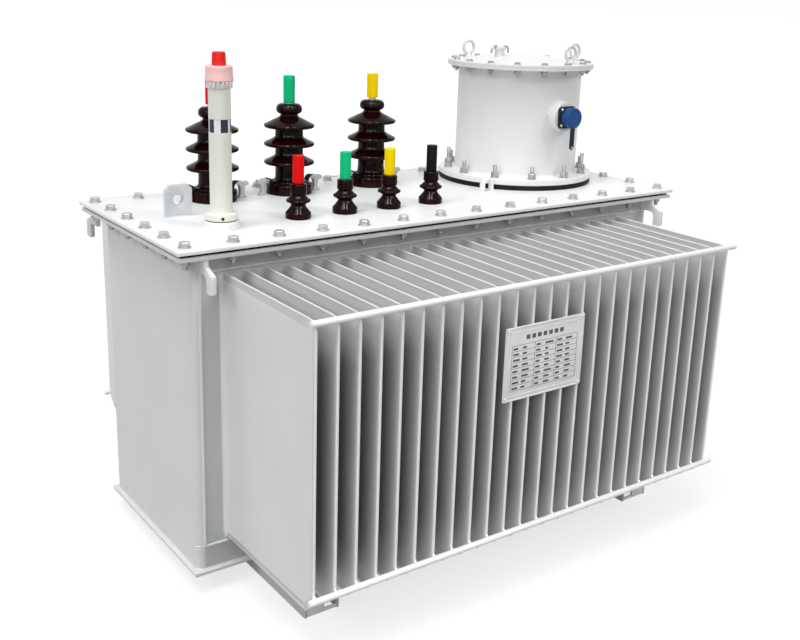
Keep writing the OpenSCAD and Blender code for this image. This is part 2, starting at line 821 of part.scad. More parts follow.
skid(-skid_x);  // left_skid
skid(skid_x);  // right_skid
base_plate();
end_wall(-1);  // left_end_wall
end_wall(1);  // right_end_wall
long_wall(-1);  // front_wall
long_wall(1);  // back_wall
front_fins();
back_fins();
front_rods();
back_rods();
front_hooks();
back_hooks();
tank_rim();
lid_gasket();
lid();
lid_lug();
lid_loop();
hv_porcelain(hv_1_x);  // hv_porcelain_1
hv_porcelain(hv_2_x);  // hv_porcelain_2
hv_porcelain(hv_3_x);  // hv_porcelain_3
hv_cap(hv_1_x, "red");  // hv_cap_1
hv_cap(hv_2_x, "mediumseagreen");  // hv_cap_2
hv_cap(hv_3_x, "gold");  // hv_cap_3
hv_clamps();
lv_porcelains();
lv_cap(0, "red");  // lv_cap_1
lv_cap(1, "mediumseagreen");  // lv_cap_2
lv_cap(2, "gold");  // lv_cap_3
lv_cap(3, rubber_black);  // lv_cap_4
gauge_boss();
gauge_tube();
gauge_ring();
gauge_cap();
gauge_knob();
turret_gasket();
turret_body();
turret_cover();
turret_eye_bolts();
vent_plug();
connector_flange();
connector_cap();
connector_strap();
nameplate();
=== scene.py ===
import math
import random

import bmesh
import bpy
from mathutils import Matrix, Vector


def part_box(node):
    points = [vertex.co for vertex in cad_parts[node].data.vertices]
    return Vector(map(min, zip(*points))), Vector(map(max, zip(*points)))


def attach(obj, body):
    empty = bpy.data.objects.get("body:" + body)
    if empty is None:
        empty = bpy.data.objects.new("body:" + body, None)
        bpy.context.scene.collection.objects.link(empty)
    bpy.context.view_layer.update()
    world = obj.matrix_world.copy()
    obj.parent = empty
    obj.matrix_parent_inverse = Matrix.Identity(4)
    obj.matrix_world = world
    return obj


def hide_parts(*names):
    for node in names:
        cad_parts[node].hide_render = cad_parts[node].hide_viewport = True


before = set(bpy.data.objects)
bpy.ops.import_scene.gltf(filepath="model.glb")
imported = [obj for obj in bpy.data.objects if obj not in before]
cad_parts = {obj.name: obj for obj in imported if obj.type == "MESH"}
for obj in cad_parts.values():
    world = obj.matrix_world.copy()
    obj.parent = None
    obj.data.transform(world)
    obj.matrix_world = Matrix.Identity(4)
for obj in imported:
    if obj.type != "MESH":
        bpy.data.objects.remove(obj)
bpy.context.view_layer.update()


# Skids: two rolled steel channels laid legs down, welded under the base plate and painted grey.
# Plates painted pale as painted light close part of each end; dark plates set behind are painted shade.
def surface(name, low, high, rough, metal=0.0, scale=7.0, coat=0.0, bump=0.0, gloss=0.5):
    # A finish that drifts between two tints, with a fine grain where it is given a bump
    drift_detail, drift_low, drift_high, coat_rough = 5.0, 0.3, 0.7, 0.08
    grain, grain_detail, grain_height = 260.0, 2.0, 0.0006
    mat = bpy.data.materials.new(name)
    mat.use_nodes = True
    nodes, links = mat.node_tree.nodes, mat.node_tree.links
    shader = nodes["Principled BSDF"]
    coords = nodes.new("ShaderNodeTexCoord")
    drift = nodes.new("ShaderNodeTexNoise")
    drift.inputs["Scale"].default_value = scale
    drift.inputs["Detail"].default_value = drift_detail
    ramp = nodes.new("ShaderNodeValToRGB")
    for stop, place, tint in zip(ramp.color_ramp.elements, (drift_low, drift_high), (low, high)):
        stop.position = place
        stop.color = (*tint, 1.0)
    links.new(coords.outputs["Object"], drift.inputs["Vector"])
    links.new(drift.outputs["Fac"], ramp.inputs["Fac"])
    links.new(ramp.outputs["Color"], shader.inputs["Base Color"])
    for key, value in (("Roughness", rough), ("Metallic", metal), ("Specular IOR Level", gloss),
                       ("Coat Weight", coat), ("Coat Roughness", coat_rough)):
        shader.inputs[key].default_value = value
    if bump:
        fine = nodes.new("ShaderNodeTexNoise")
        fine.inputs["Scale"].default_value = grain
        fine.inputs["Detail"].default_value = grain_detail
        relief = nodes.new("ShaderNodeBump")
        relief.inputs["Strength"].default_value = bump
        relief.inputs["Distance"].default_value = grain_height
        links.new(coords.outputs["Object"], fine.inputs["Vector"])
        links.new(fine.outputs["Fac"], relief.inputs["Height"])
        links.new(relief.outputs["Normal"], shader.inputs["Normal"])
    return mat


touch, level, rim_turn = 1e-6, 1e-7, 1.2


def piece(name, bm, mat, slot, *stands_for, sharp=38.0):
    bmesh.ops.remove_doubles(bm, verts=bm.verts, dist=touch)
    bmesh.ops.recalc_face_normals(bm, faces=bm.faces)
    mesh = bpy.data.meshes.new(name)
    bm.to_mesh(mesh)
    bm.free()
    mesh.shade_smooth()
    mesh.set_sharp_from_angle(angle=math.radians(sharp))
    mesh.materials.append(mat)
    obj = bpy.data.objects.new(name, mesh)
    bpy.context.scene.collection.objects.link(obj)
    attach(obj, "root")
    if stands_for:
        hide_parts(*stands_for)


def arc(cx, cy, r, a0, a1, n):
    steps = [math.radians(a0 + (a1 - a0) * i / n) for i in range(n + 1)]
    return [(cx + r * math.cos(a), cy + r * math.sin(a)) for a in steps]


def middle(name):
    low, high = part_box(name)
    return (low + high) / 2


def at(x, y, z, *turns):
    # A place in the row frame, with turns such as ("X", 90) applied in order
    place = Matrix.Translation((x, y, z))
    for axis, angle in turns:
        place = place @ Matrix.Rotation(math.radians(angle), 4, axis)
    return place


def add(bm, part, place):
    mesh = bpy.data.meshes.new("part")
    bmesh.ops.transform(part, matrix=place, verts=part.verts)
    part.to_mesh(mesh)
    part.free()
    bm.from_mesh(mesh)
    bpy.data.meshes.remove(mesh)


def level_edges(part):
    return [e for e in part.edges if abs(e.verts[0].co.z - e.verts[1].co.z) < level]


def soften(part, edges, offset, segments=2):
    bmesh.ops.bevel(part, geom=edges, offset=offset, affect="EDGES", segments=segments, profile=0.5,
                    material=-1)


def plate(bm, loops, depth, place, round_r=0.0):
    # A flat outline, with any hole after it, drawn up along the place's own Z
    part = bmesh.new()
    edges = []
    for loop in loops:
        verts = [part.verts.new((x, y, 0.0)) for x, y in loop]
        edges += [part.edges.new(pair) for pair in zip(verts, verts[1:] + verts[:1])]
    if len(loops) == 1:
        faces = [part.faces.new(part.verts)]
    else:
        filled = bmesh.ops.triangle_fill(part, use_beauty=True, edges=edges)["geom"]
        faces = [g for g in filled if isinstance(g, bmesh.types.BMFace)]
    drawn = bmesh.ops.extrude_face_region(part, geom=faces, use_keep_orig=True)["geom"]
    top = [g for g in drawn if isinstance(g, bmesh.types.BMVert)]
    bmesh.ops.translate(part, verts=top, vec=(0, 0, depth))
    bmesh.ops.recalc_face_normals(part, faces=part.faces)
    if round_r:
        rims = [e for e in level_edges(part) if len(e.link_faces) == 2 and e.calc_face_angle(0) > rim_turn]
        soften(part, rims, round_r)
    add(bm, part, place)


def block(bm, low, high, round_r, segments=2):
    low, high = Vector(low), Vector(high)
    part = bmesh.new()
    bmesh.ops.create_cube(part, size=1.0, matrix=Matrix.Diagonal((*(high - low), 1.0)))
    soften(part, part.edges[:], round_r, segments)
    add(bm, part, Matrix.Translation((low + high) / 2))


skid_paint = surface("skid_paint", (0.52, 0.522, 0.524), (0.58, 0.582, 0.584), 0.5, bump=0.08)
# A pale finish: the gauge boss and the fin welds, and painted light on the skid ends, front hooks and fin
# foot strips
pale_paint_and_painted_light = surface("pale_paint_and_painted_light", (0.8, 0.802, 0.804), (0.86, 0.862, 0.864), 0.36, bump=0.05)
# Near black: painted shade for the hollows behind the skid end plates
hollow_shade_black = surface("hollow_shade_black", (0.05, 0.051, 0.052), (0.09, 0.091, 0.092), 0.6, gloss=0.1)
low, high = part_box("right_skid")
skid_x, skid_half, skid_top = middle("right_skid").x, (high.x - low.x) / 2, high.z

leg_t, outer_r, inner_r, edge_r = 0.006, 0.008, 0.006, 0.0008
bend_x, bend_z = skid_half - outer_r, skid_top - outer_r
hollow_x, hollow_z = skid_half - leg_t - inner_r, skid_top - leg_t - inner_r
channel = [(-skid_half, 0.0), *arc(-bend_x, bend_z, outer_r, 180, 90, 5),
           *arc(bend_x, bend_z, outer_r, 90, 0, 5), (skid_half, 0.0), (skid_half - leg_t, 0.0),
           *arc(hollow_x, hollow_z, inner_r, 0, 90, 4), *arc(-hollow_x, hollow_z, inner_r, 90, 180, 4),
           (leg_t - skid_half, 0.0)]
bm = bmesh.new()
for x in (-skid_x, skid_x):
    plate(bm, [channel], high.y - low.y, at(x, high.y, 0, ("X", 90)), edge_r)
piece("skid_channels", bm, skid_paint, "skid_paint", "left_skid", "right_skid")

closed_w, leg_in, lip_top, top_gap, clear = 0.045, 0.005, 0.008, 0.004, 0.001
end_gap, set_back, closer_t, closer_r = 0.0005, 0.036, 0.004, 0.0006
closers, shade_plates = bmesh.new(), bmesh.new()
for side in (-1, 1):
    outer_x = side * (skid_x + skid_half - clear)
    split_x = outer_x - side * closed_w
    inner_x = side * (skid_x - skid_half + leg_in)
    for end_y, inward in ((low.y, 1), (high.y, -1)):
        for group, near, xs, top in ((closers, end_gap, (outer_x, split_x), skid_top - top_gap),
                                     (closers, end_gap, (split_x, inner_x), lip_top),
                                     (shade_plates, set_back, (split_x, inner_x), skid_top - top_gap)):
            ys = sorted((end_y + inward * near, end_y + inward * (near + closer_t)))
            block(group, (min(xs), ys[0], clear), (max(xs), ys[1], top), closer_r)
# Painted light on the pale end plates; the dark plates set back inside the channels are painted shade
piece("skid_end_plates", closers, pale_paint_and_painted_light, "skid_paint")
piece("skid_shade_plates", shade_plates, hollow_shade_black, "skid_paint")


# Base plate: the flat steel bottom of the tank, a little wider than the walls,
# with the fillet weld that joins the walls to it all the way round.
def grid_row(share, count):
    return round((share + 1) / 2 * (count - 1))


def bead(bm, path, radius, ripple=0.12, step=0.006, sides=8, closed=False):
    # A weld run: a grid rolled into a tube whose thickness wavers as a hand run does
    end_share = 0.4
    points = [Vector(p) for p in path] + ([Vector(path[0])] if closed else [])
    line = []
    for a, b in zip(points, points[1:]):
        n = max(1, round((b - a).length / step))
        line += [a.lerp(b, i / n) for i in range(n)]
    if not closed:
        line.append(points[-1])
    last = len(line) - 1
    rings = []
    for i, p in enumerate(line):
        before = line[i - 1] if closed else line[max(i - 1, 0)]
        after = line[(i + 1) % len(line)] if closed else line[min(i + 1, last)]
        r = radius * (1 + random.uniform(-ripple, ripple))
        if not closed and i in (0, last):
            r *= end_share
        rings.append((p, (after - before).to_track_quat("Z", "Y"), r))
    if closed:
        rings.append(rings[0])
    else:
        rings = [(*rings[0][:2], 0.0), *rings, (*rings[-1][:2], 0.0)]
    part = bmesh.new()
    bmesh.ops.create_grid(part, x_segments=len(rings) - 1, y_segments=sides, size=1.0)
    for vert in part.verts:
        p, turn, r = rings[grid_row(vert.co.x, len(rings))]
        a = math.tau * grid_row(vert.co.y, sides + 1) / sides
        vert.co = p + turn @ Vector((r * math.cos(a), r * math.sin(a), 0.0))
    add(bm, part, Matrix())


corners = ((1, 1, 0), (-1, 1, 90), (-1, -1, 180), (1, -1, 270))


def round_corners(x, y, r, steps):
    return [p for sx, sy, first in corners for p in arc(sx * x, sy * y, r, first, first + 90, steps)]


random.seed(7)
tank_paint = surface("tank_paint", (0.68, 0.682, 0.684), (0.72, 0.722, 0.724), 0.42, bump=0.05, gloss=0.3)
base_edge, base_weld = 0.0015, 0.0027
bm = bmesh.new()
block(bm, *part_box("base_plate"), base_edge)
piece("base_plate_sheet", bm, tank_paint, "skid_paint", "base_plate")

wall_z, rim_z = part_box("base_plate")[1].z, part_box("tank_rim")[0].z
end_x, wall_y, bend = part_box("right_end_wall")[1].x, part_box("back_wall")[1].y, 0.016
bm = bmesh.new()
foot_line = [(x, y, wall_z) for x, y in round_corners(end_x - bend, wall_y - bend, bend, 3)]
bead(bm, foot_line, base_weld, closed=True)
piece("base_weld", bm, tank_paint, "tank_paint", sharp=60)


# Tank walls: two end plates bent round the corners and two long sheets between
# them, joined by upright welds; a level weld runs above and below the fins.
def dress(name, mat):
    # A CAD piece kept as it is, with a better finish
    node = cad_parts[name]
    node.data.materials.clear()
    node.data.materials.append(mat)


# Painted shade: the long walls take a darker copy of the tank paint, standing in for the shade under the rim
# and beside the fins
shaded_side_paint = surface("shaded_side_paint", (0.52, 0.53, 0.535), (0.56, 0.57, 0.575), 0.42, bump=0.05, gloss=0.3)
for name in ("left_end_wall", "right_end_wall"):
    dress(name, tank_paint)
for name in ("front_wall", "back_wall"):
    dress(name, shaded_side_paint)

seam_x, seam_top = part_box("front_wall")[1].x, rim_z - 0.003
low_seam, high_seam = wall_z + 0.0525, rim_z - 0.033
upright_r, corner_r, corner_drop, corner_step = 0.0034, 0.0013, 0.007, 0.004
low_r, high_r, high_ripple, level_step = 0.0032, 0.0028, 0.2, 0.007
bm = bmesh.new()
for sx, sy, first in corners:
    bead(bm, [(sx * seam_x, sy * wall_y, z) for z in (low_seam, seam_top)], upright_r)
    from_end, to_end = first + 45 - 30 * sx * sy, first + 45 + 45 * sx * sy
    turn = arc(sx * (end_x - bend), sy * (wall_y - bend), bend, from_end, to_end, 4)
    for drop in (0.0, corner_drop):
        bead(bm, [(x, y, low_seam - drop) for x, y in turn], corner_r, step=corner_step)
for sy in (-1, 1):
    bead(bm, [(sx * seam_x, sy * wall_y, low_seam) for sx in (-1, 1)], low_r, step=level_step)
    bead(bm, [(sx * seam_x, sy * wall_y, high_seam) for sx in (-1, 1)], high_r, high_ripple, level_step)
piece("wall_welds", bm, tank_paint, "tank_paint", sharp=60)


# Cooling fins: thin steel sheet folded into deep narrow pockets, the top and bottom edges pressed
# flat and seam welded. A pale strip along each foot is a painted highlight; the gaps carry painted shade.
low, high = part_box("back_fins")
fin_foot, fin_top, fin_depth, tip_y = low.z, high.z, high.y - low.y, high.y
fin_half, fin_count, foot_cut, tip_fall = 0.0045, 25, 0.028, 0.002


def fin(bm, x, out):
    # A grid folded round the fin's plan: the end rows close the pressed edges
    pressed_half, root_r, press_root, press_tip, cut_run = 0.002, 0.007, 0.016, 0.022, 0.012
    cut, fold = fin_depth - foot_cut, fin_depth - fin_half
    plan = [(-fin_half - root_r + px, root_r - d) for px, d in arc(0.0, 0.0, root_r, 90, 0, 4)]
    plan += [(-fin_half, d) for d in (0.06, 0.12, 0.18, 0.24, 0.29, cut, cut + cut_run, fold)]
    plan += [(px, fold + d) for px, d in arc(0.0, 0.0, fin_half, 160, 100, 3)] + [(0.0, fin_depth)]
    plan += [(-px, d) for px, d in reversed(plan[:-1])]
    press = (0.0, 0.0, 0.12, 0.3, 0.5, 0.7, 0.88, 1.0, 3.0)
    rows = len(press)
    levels = [(-1, i) for i in range(rows)] + [(0, rows - 1)] + [(1, rows - 1 - i) for i in range(rows)]
    part = bmesh.new()
    bmesh.ops.create_grid(part, x_segments=len(plan) - 1, y_segments=len(levels) - 1, size=1.0)
    for vert in part.verts:
        px, d = plan[grid_row(vert.co.x, len(plan))]
        side, i = levels[grid_row(vert.co.y, len(levels))]
        top, foot = fin_top - tip_fall * d / fin_depth, fin_foot + max(0.0, d - cut)
        inward = (press_root + (press_tip - press_root) * d / fin_depth) * press[i]
        t = min(press[i], 1.0)
        flat = (pressed_half + (fin_half - pressed_half) * t * t * (3 - 2 * t)) / fin_half
        wide = min(abs(px), fin_half) * flat + max(abs(px) - fin_half, 0.0) if i else 0.0
        z = (top + foot) / 2 if side == 0 else (top - inward if side > 0 else foot + inward)
        vert.co = (x + math.copysign(wide, px), out * (wall_y + d), z)
    add(bm, part, Matrix())


def maths(nodes, links, operation, *terms):
    # A sum between shader values, each of them a socket or a number
    node = nodes.new("ShaderNodeMath")
    node.operation = operation
    for socket, term in zip(node.inputs, terms):
        if isinstance(term, float):
            socket.default_value = term
        else:
            links.new(term, socket)
    return node.outputs["Value"]


def gap_shade_and_fold_highlight_paint(name, bank_x, bank_half, out):
    # Painted shade: the gaps darken towards the wall and ease near the top and foot; a painted highlight
    # keeps each fold pale
    painted_gap_shade, painted_fold_highlight, skin = (0.1, 0.1, 0.1, 1.0), (0.93, 0.93, 0.93, 1.0), 0.0005
    mat = surface(name, (0.71, 0.712, 0.714), (0.75, 0.752, 0.754), 0.3, bump=0.04)
    nodes, links = mat.node_tree.nodes, mat.node_tree.links
    shader = nodes["Principled BSDF"]
    coords, split = nodes.new("ShaderNodeTexCoord"), nodes.new("ShaderNodeSeparateXYZ")
    links.new(coords.outputs["Object"], split.inputs["Vector"])

    def fade(axis, start, stop, first, last):
        ramp = nodes.new("ShaderNodeMapRange")
        for key, value in (("From Min", start), ("From Max", stop), ("To Min", first), ("To Max", last)):
            ramp.inputs[key].default_value = value
        links.new(split.outputs[axis], ramp.inputs["Value"])
        return ramp.outputs["Result"]

    def tinted(colour, painted_light_amount, tint):
        mix = nodes.new("ShaderNodeMix")
        mix.data_type = "RGBA"
        plain, other = [socket for socket in mix.inputs if socket.type == "RGBA"]
        other.default_value = tint
        links.new(colour, plain)
        links.new(painted_light_amount, mix.inputs["Factor"])
        return [socket for socket in mix.outputs if socket.type == "RGBA"][0]

    # The painted shade covers only this bank, strongest deep in the gaps and eased near the top and the foot
    painted_light_amount = maths(nodes, links, "COMPARE", split.outputs["X"], bank_x, bank_half - skin)
    for share in (fade("Y", out * (tip_y - 0.05), out * (tip_y - 0.004), 0.74, 0.26),
                  fade("Z", fin_top - 0.1, fin_top - 0.05, 1.0, 0.36),
                  fade("Z", fin_foot + 0.03, fin_foot + 0.11, 0.5, 1.0)):
        painted_light_amount = maths(nodes, links, "MULTIPLY", share, painted_light_amount)
    # Painted highlight: a thin pale band along each fold's crest
    fold = fade("Y", out * (tip_y - 0.0016), out * (tip_y - 0.0004), 0.0, 1.0)
    plain = shader.inputs["Base Color"].links[0].from_socket
    links.new(tinted(tinted(plain, painted_light_amount, painted_gap_shade), fold, painted_fold_highlight), shader.inputs["Base Color"])
    return mat


root_gap, seam_run = 0.004, (0.002, 0.06, 0.02, 6)
strip_half, strip_h, strip_r = 0.0025, 0.0115, 0.0006
fin_x = {}
for out, name in ((-1, "front"), (1, "back")):
    low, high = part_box(name + "_fins")
    pitch = (high.x - low.x - 2 * fin_half) / (fin_count - 1)
    fin_x[out] = [low.x + fin_half + pitch * i for i in range(fin_count)]
    root_y, cut_y = out * (wall_y + root_gap), out * (tip_y - foot_cut)
    top_run = ((root_y, 0.0), (out * (tip_y - 0.006), tip_fall))
    foot_run = ((root_y, 0.0), (cut_y, 0.0), (out * (tip_y - 0.003), 0.025))
    near_y, far_y = sorted((root_y, out * (tip_y - foot_cut - 0.001)))
    bm, seams = bmesh.new(), bmesh.new()
    for x in fin_x[out]:
        fin(bm, x, out)
        bead(seams, [(x, y, fin_top - fall) for y, fall in top_run], *seam_run)
        bead(seams, [(x, y, fin_foot + rise) for y, rise in foot_run], *seam_run)
        # Painted highlight: a pale strip along each fin's foot stands in for the floor's light on the pressed
        # edge
        block(seams, (x - strip_half, near_y, fin_foot), (x + strip_half, far_y, fin_foot + strip_h),
              strip_r, 1)
    paint = gap_shade_and_fold_highlight_paint(name + "_fin_paint_with_painted_light", middle(name + "_fins").x, (high.x - low.x) / 2, out)
    piece(name + "_fin_bank", bm, paint, "tank_paint", name + "_fins", sharp=50)
    piece(name + "_fin_seams_and_highlight_strips", seams, pale_paint_and_painted_light, "tank_paint", sharp=70)


# Tie bars: two round bars welded across the tips of each fin bank to hold the
# fins apart, with a small weld at every fin, painted gloss white.
def ball(bm, centre, radii, turns=10, rings=6):
    part = bmesh.new()
    bmesh.ops.create_uvsphere(part, u_segments=turns, v_segments=rings, radius=1.0)
    add(bm, part, Matrix.Translation(centre) @ Matrix.Diagonal((*radii, 1.0)))


def bar(bm, r, length, place, sides, round_r, segments=2):
    # A round or six-sided bar that stands up the place's own Z, with its ends softened
    part = bmesh.new()
    bmesh.ops.create_cone(part, cap_ends=True, segments=sides, radius1=r, radius2=r, depth=length)
    if round_r:
        soften(part, level_edges(part), round_r, segments)
    add(bm, part, place @ Matrix.Translation((0, 0, length / 2)))


def rod(bm, a, b, r, sides=16, round_r=0.001):
    along = Vector(b) - Vector(a)
    bar(bm, r, along.length, Matrix.Translation(a) @ along.to_track_quat("Z", "Y").to_matrix().to_4x4(),
        sides, round_r)


rod_paint = surface("rod_paint", (0.87, 0.872, 0.875), (0.92, 0.922, 0.925), 0.3, bump=0.05)
tack_x, tack_y, tack_z, tack_out, tack_off = 0.0036, 0.003, 0.005, 0.0005, 0.004
for out, name in ((-1, "front"), (1, "back")):
    bm = bmesh.new()
    low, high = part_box(name + "_rods")
    bar_r, bar_y = (high.y - low.y) / 2, (low.y + high.y) / 2
    for z, side in ((high.z - bar_r, 1), (low.z + bar_r, -1)):
        rod(bm, (low.x, bar_y, z), (high.x, bar_y, z), bar_r)
        for x in fin_x[out]:
            size = random.uniform(0.75, 1.05)
            spot = (x, out * (tip_y + tack_out), z - side * tack_off)
            ball(bm, spot, (tack_x * size, tack_y, tack_z * size))
    piece(name + "_tie_bars", bm, rod_paint, "rod_paint", name + "_rods", sharp=50)


# Tank hooks: flat plates cut to a hook with a tongue that hangs clear of the wall, welded under
# the rim at the four corners to lift the unit. The front pair is painted paler as painted light.
low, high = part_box("back_hooks")
reach, drop = high.y - low.y, high.z - low.z
neck, shoulder, brow, tongue, slot_z = 0.032, -0.013, -0.0245, 0.04, -0.031
brow_r, toe_r, lip_r, slot_r = 0.004, 0.006, 0.003, 0.011
hook = [(0.0, 0.0), (neck, 0.0), (neck, shoulder), (reach - brow_r, brow),
        *arc(reach - brow_r, brow - brow_r, brow_r, 60, 0, 3),
        *arc(reach - toe_r, toe_r - drop, toe_r, 0, -90, 5),
        *arc(tongue + lip_r, lip_r - drop, lip_r, 270, 180, 3),
        *arc(tongue - slot_r, slot_z - slot_r, slot_r, 0, 90, 8), (0.0, slot_z)]
hook_half, hook_edge, hook_weld = 0.005, 0.0012, 0.0025
# Painted light: the front pair takes the pale finish where the back pair keeps the tank paint
for out, name, paint in ((-1, "front", pale_paint_and_painted_light), (1, "back", tank_paint)):
    upright = Matrix(((0, 0, 1, 0), (out, 0, 0, 0), (0, 1, 0, 0), (0, 0, 0, 1)))
    hook_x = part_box(name + "_hooks")[1].x - hook_half
    bm = bmesh.new()
    for side in (-1, 1):
        place = at(side * hook_x - hook_half, out * wall_y, rim_z) @ upright
        plate(bm, [hook], 2 * hook_half, place, hook_edge)
        for x in (side * hook_x - hook_half, side * hook_x + hook_half):
            bead(bm, [(x, out * (wall_y + run), rim_z) for run in (0.002, 0.031)], hook_weld)
            if out < 0:
                bead(bm, [(x, out * wall_y, rim_z - 0.03), (x, out * wall_y, rim_z - 0.003)], hook_weld)
    piece(name + "_hook_plates", bm, paint, "tank_paint", name + "_hooks", sharp=45)


# Rim, gasket and lid: a flat frame welded round the top of the tank, a sheet of
# black rubber on it, and the lid plate bolted down over both.
lid_paint = surface("lid_paint", (0.86, 0.863, 0.864), (0.89, 0.893, 0.894), 0.33, scale=4.0, bump=0.05,
                    gloss=0.3)
gasket_rubber = surface("gasket_rubber", (0.006, 0.006, 0.007), (0.014, 0.014, 0.015), 0.6, scale=40.0,
                        bump=0.2, gloss=0.1)
rim_edge, lid_edge = 0.001, 0.0014
low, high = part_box("tank_rim")
wall_t = wall_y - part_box("back_wall")[0].y
bm = bmesh.new()
rim_outer = [(low.x, low.y), (high.x, low.y), (high.x, high.y), (low.x, high.y)]
rim_inner = round_corners(end_x - bend, wall_y - bend, bend - wall_t, 6)
plate(bm, [rim_outer, rim_inner], high.z - low.z, at(0, 0, low.z), rim_edge)
piece("rim_frame", bm, tank_paint, "tank_paint", "tank_rim")

dress("lid_gasket", gasket_rubber)

bm = bmesh.new()
block(bm, *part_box("lid"), lid_edge, 3)
piece("lid_sheet", bm, lid_paint, "lid_paint", "lid")


# Lid bolts: hexagon bolts with flat and spring washers round the lid's edge,
# each with its nut and a short bolt end under the rim, all zinc plated.
def hexagon(bm, across, height, place, chamfer=0.0008):
    bar(bm, across / 2 / math.cos(math.pi / 6), height, place, 6, chamfer, 1)


def disc(bm, r, height, place, sides=20, round_r=0.0004):
    bar(bm, r, height, place, sides, round_r)


zinc_steel = surface("zinc_steel", (0.38, 0.385, 0.39), (0.52, 0.525, 0.53), 0.36, metal=0.4, scale=60.0,
                     bump=0.1)
# A darker zinc for studs and turret bolts, also used as painted shade on the nuts under the lid's rim
stud_zinc_and_shade = surface("stud_zinc_and_shade", (0.3, 0.305, 0.31), (0.42, 0.425, 0.43), 0.34, metal=0.4, scale=60.0,
                    bump=0.1)
lid_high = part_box("lid")[1]
lid_top, bolt_x, bolt_y = lid_high.z, lid_high.x - 0.026, lid_high.y - 0.03
along, across = 13, 5
spots = [(-bolt_x + 2 * bolt_x * i / along, sy * bolt_y) for i in range(along + 1) for sy in (-1, 1)]
spots += [(sx * bolt_x, -bolt_y + 2 * bolt_y * i / across) for i in range(1, across) for sx in (-1, 1)]
washer_r, washer_t, spring_r, spring_t, head_w, head_h = 0.013, 0.002, 0.0098, 0.0024, 0.0185, 0.007
under_r, nut_w, nut_h, bolt_r, bolt_end = 0.0108, 0.018, 0.0095, 0.0058, 0.009
nut_z = rim_z - washer_t - nut_h
bm, nuts = bmesh.new(), bmesh.new()
for x, y in spots:
    head_turn, nut_turn = random.uniform(0, 60), random.uniform(0, 60)
    disc(bm, washer_r, washer_t, at(x, y, lid_top))
    disc(bm, spring_r, spring_t, at(x, y, lid_top + washer_t), 16)
    hexagon(bm, head_w, head_h, at(x, y, lid_top + washer_t + spring_t, ("Z", head_turn)))
    disc(nuts, under_r, washer_t, at(x, y, rim_z - washer_t), 16)
    hexagon(nuts, nut_w, nut_h, at(x, y, nut_z, ("Z", nut_turn)))
    rod(nuts, (x, y, nut_z), (x, y, nut_z - bolt_end), bolt_r, 12)
piece("lid_bolts", bm, zinc_steel, "zinc_steel", sharp=30)
# Painted shade: the nuts and bolt ends under the rim take a darker zinc than the heads above
piece("lid_nuts", nuts, stud_zinc_and_shade, "zinc_steel", sharp=30)


# Lid lug and loop: a holed lifting plate with cut corners, in a cooler grey, and a
# small white arch of bent bar, both welded upright on the lid.
lug_paint = surface("lug_paint", (0.6, 0.612, 0.635), (0.65, 0.662, 0.685), 0.36, bump=0.05)
low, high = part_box("lid_lug")
lug_x, lug_half, lug_h = middle("lid_lug").x, (high.x - low.x) / 2, high.z - low.z
cut, cut_r, eye_r, eye_z, lug_edge, lug_weld, weld_half = 0.0085, 0.003, 0.012, 0.037, 0.0012, 0.0026, 0.028
side_x, top_z = lug_half - cut_r, lug_h - cut_r
lug = [(-lug_half, 0.0), (lug_half, 0.0), *arc(side_x, top_z - cut, cut_r, 0, 45, 2),
       *arc(side_x - cut, top_z, cut_r, 45, 90, 2), *arc(cut - side_x, top_z, cut_r, 90, 135, 2),
       *arc(-side_x, top_z - cut, cut_r, 135, 180, 2)]
bm = bmesh.new()
plate(bm, [lug, arc(0.0, eye_z, eye_r, 0, 345, 23)], high.y - low.y, at(lug_x, high.y, lid_top, ("X", 90)),
      lug_edge)
for y in (low.y, high.y):
    bead(bm, [(lug_x - weld_half, y, lid_top), (lug_x + weld_half, y, lid_top)], lug_weld)
piece("lid_lug_plate", bm, lug_paint, "lid_paint", "lid_lug", sharp=45)

low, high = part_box("lid_loop")
loop_x, loop_r, bore_r = middle("lid_loop").x, (high.x - low.x) / 2, 0.01
loop_edge, loop_weld = 0.0016, 0.0022
loop = [(-loop_r, 0.0), *arc(0.0, loop_r, loop_r, 180, 0, 16), (loop_r, 0.0), (bore_r, 0.0),
        *arc(0.0, loop_r, bore_r, 0, 180, 12), (-bore_r, 0.0)]
leg_x = (loop_r + bore_r) / 2
bm = bmesh.new()
plate(bm, [loop], high.y - low.y, at(loop_x, high.y, lid_top, ("X", 90)), loop_edge)
for x in (loop_x - leg_x, loop_x + leg_x):
    bead(bm, [(x, low.y, lid_top), (x, high.y, lid_top)], loop_weld)
piece("lid_loop_bar", bm, lid_paint, "lid_paint", "lid_loop", sharp=45)


# High-voltage bushings: brown glazed porcelain turned with three sheds, each
# with a coloured vinyl sleeve over its terminal stud.
def turned(bm, profile, place, steps=48):
    part = bmesh.new()
    verts = [part.verts.new((r, 0.0, z)) for r, z in profile]
    edges = [part.edges.new(pair) for pair in zip(verts, verts[1:])]
    bmesh.ops.spin(part, geom=verts + edges, cent=(0, 0, 0), axis=(0, 0, 1), angle=math.tau, steps=steps,
                   use_merge=True, use_duplicate=False)
    add(bm, part, place)


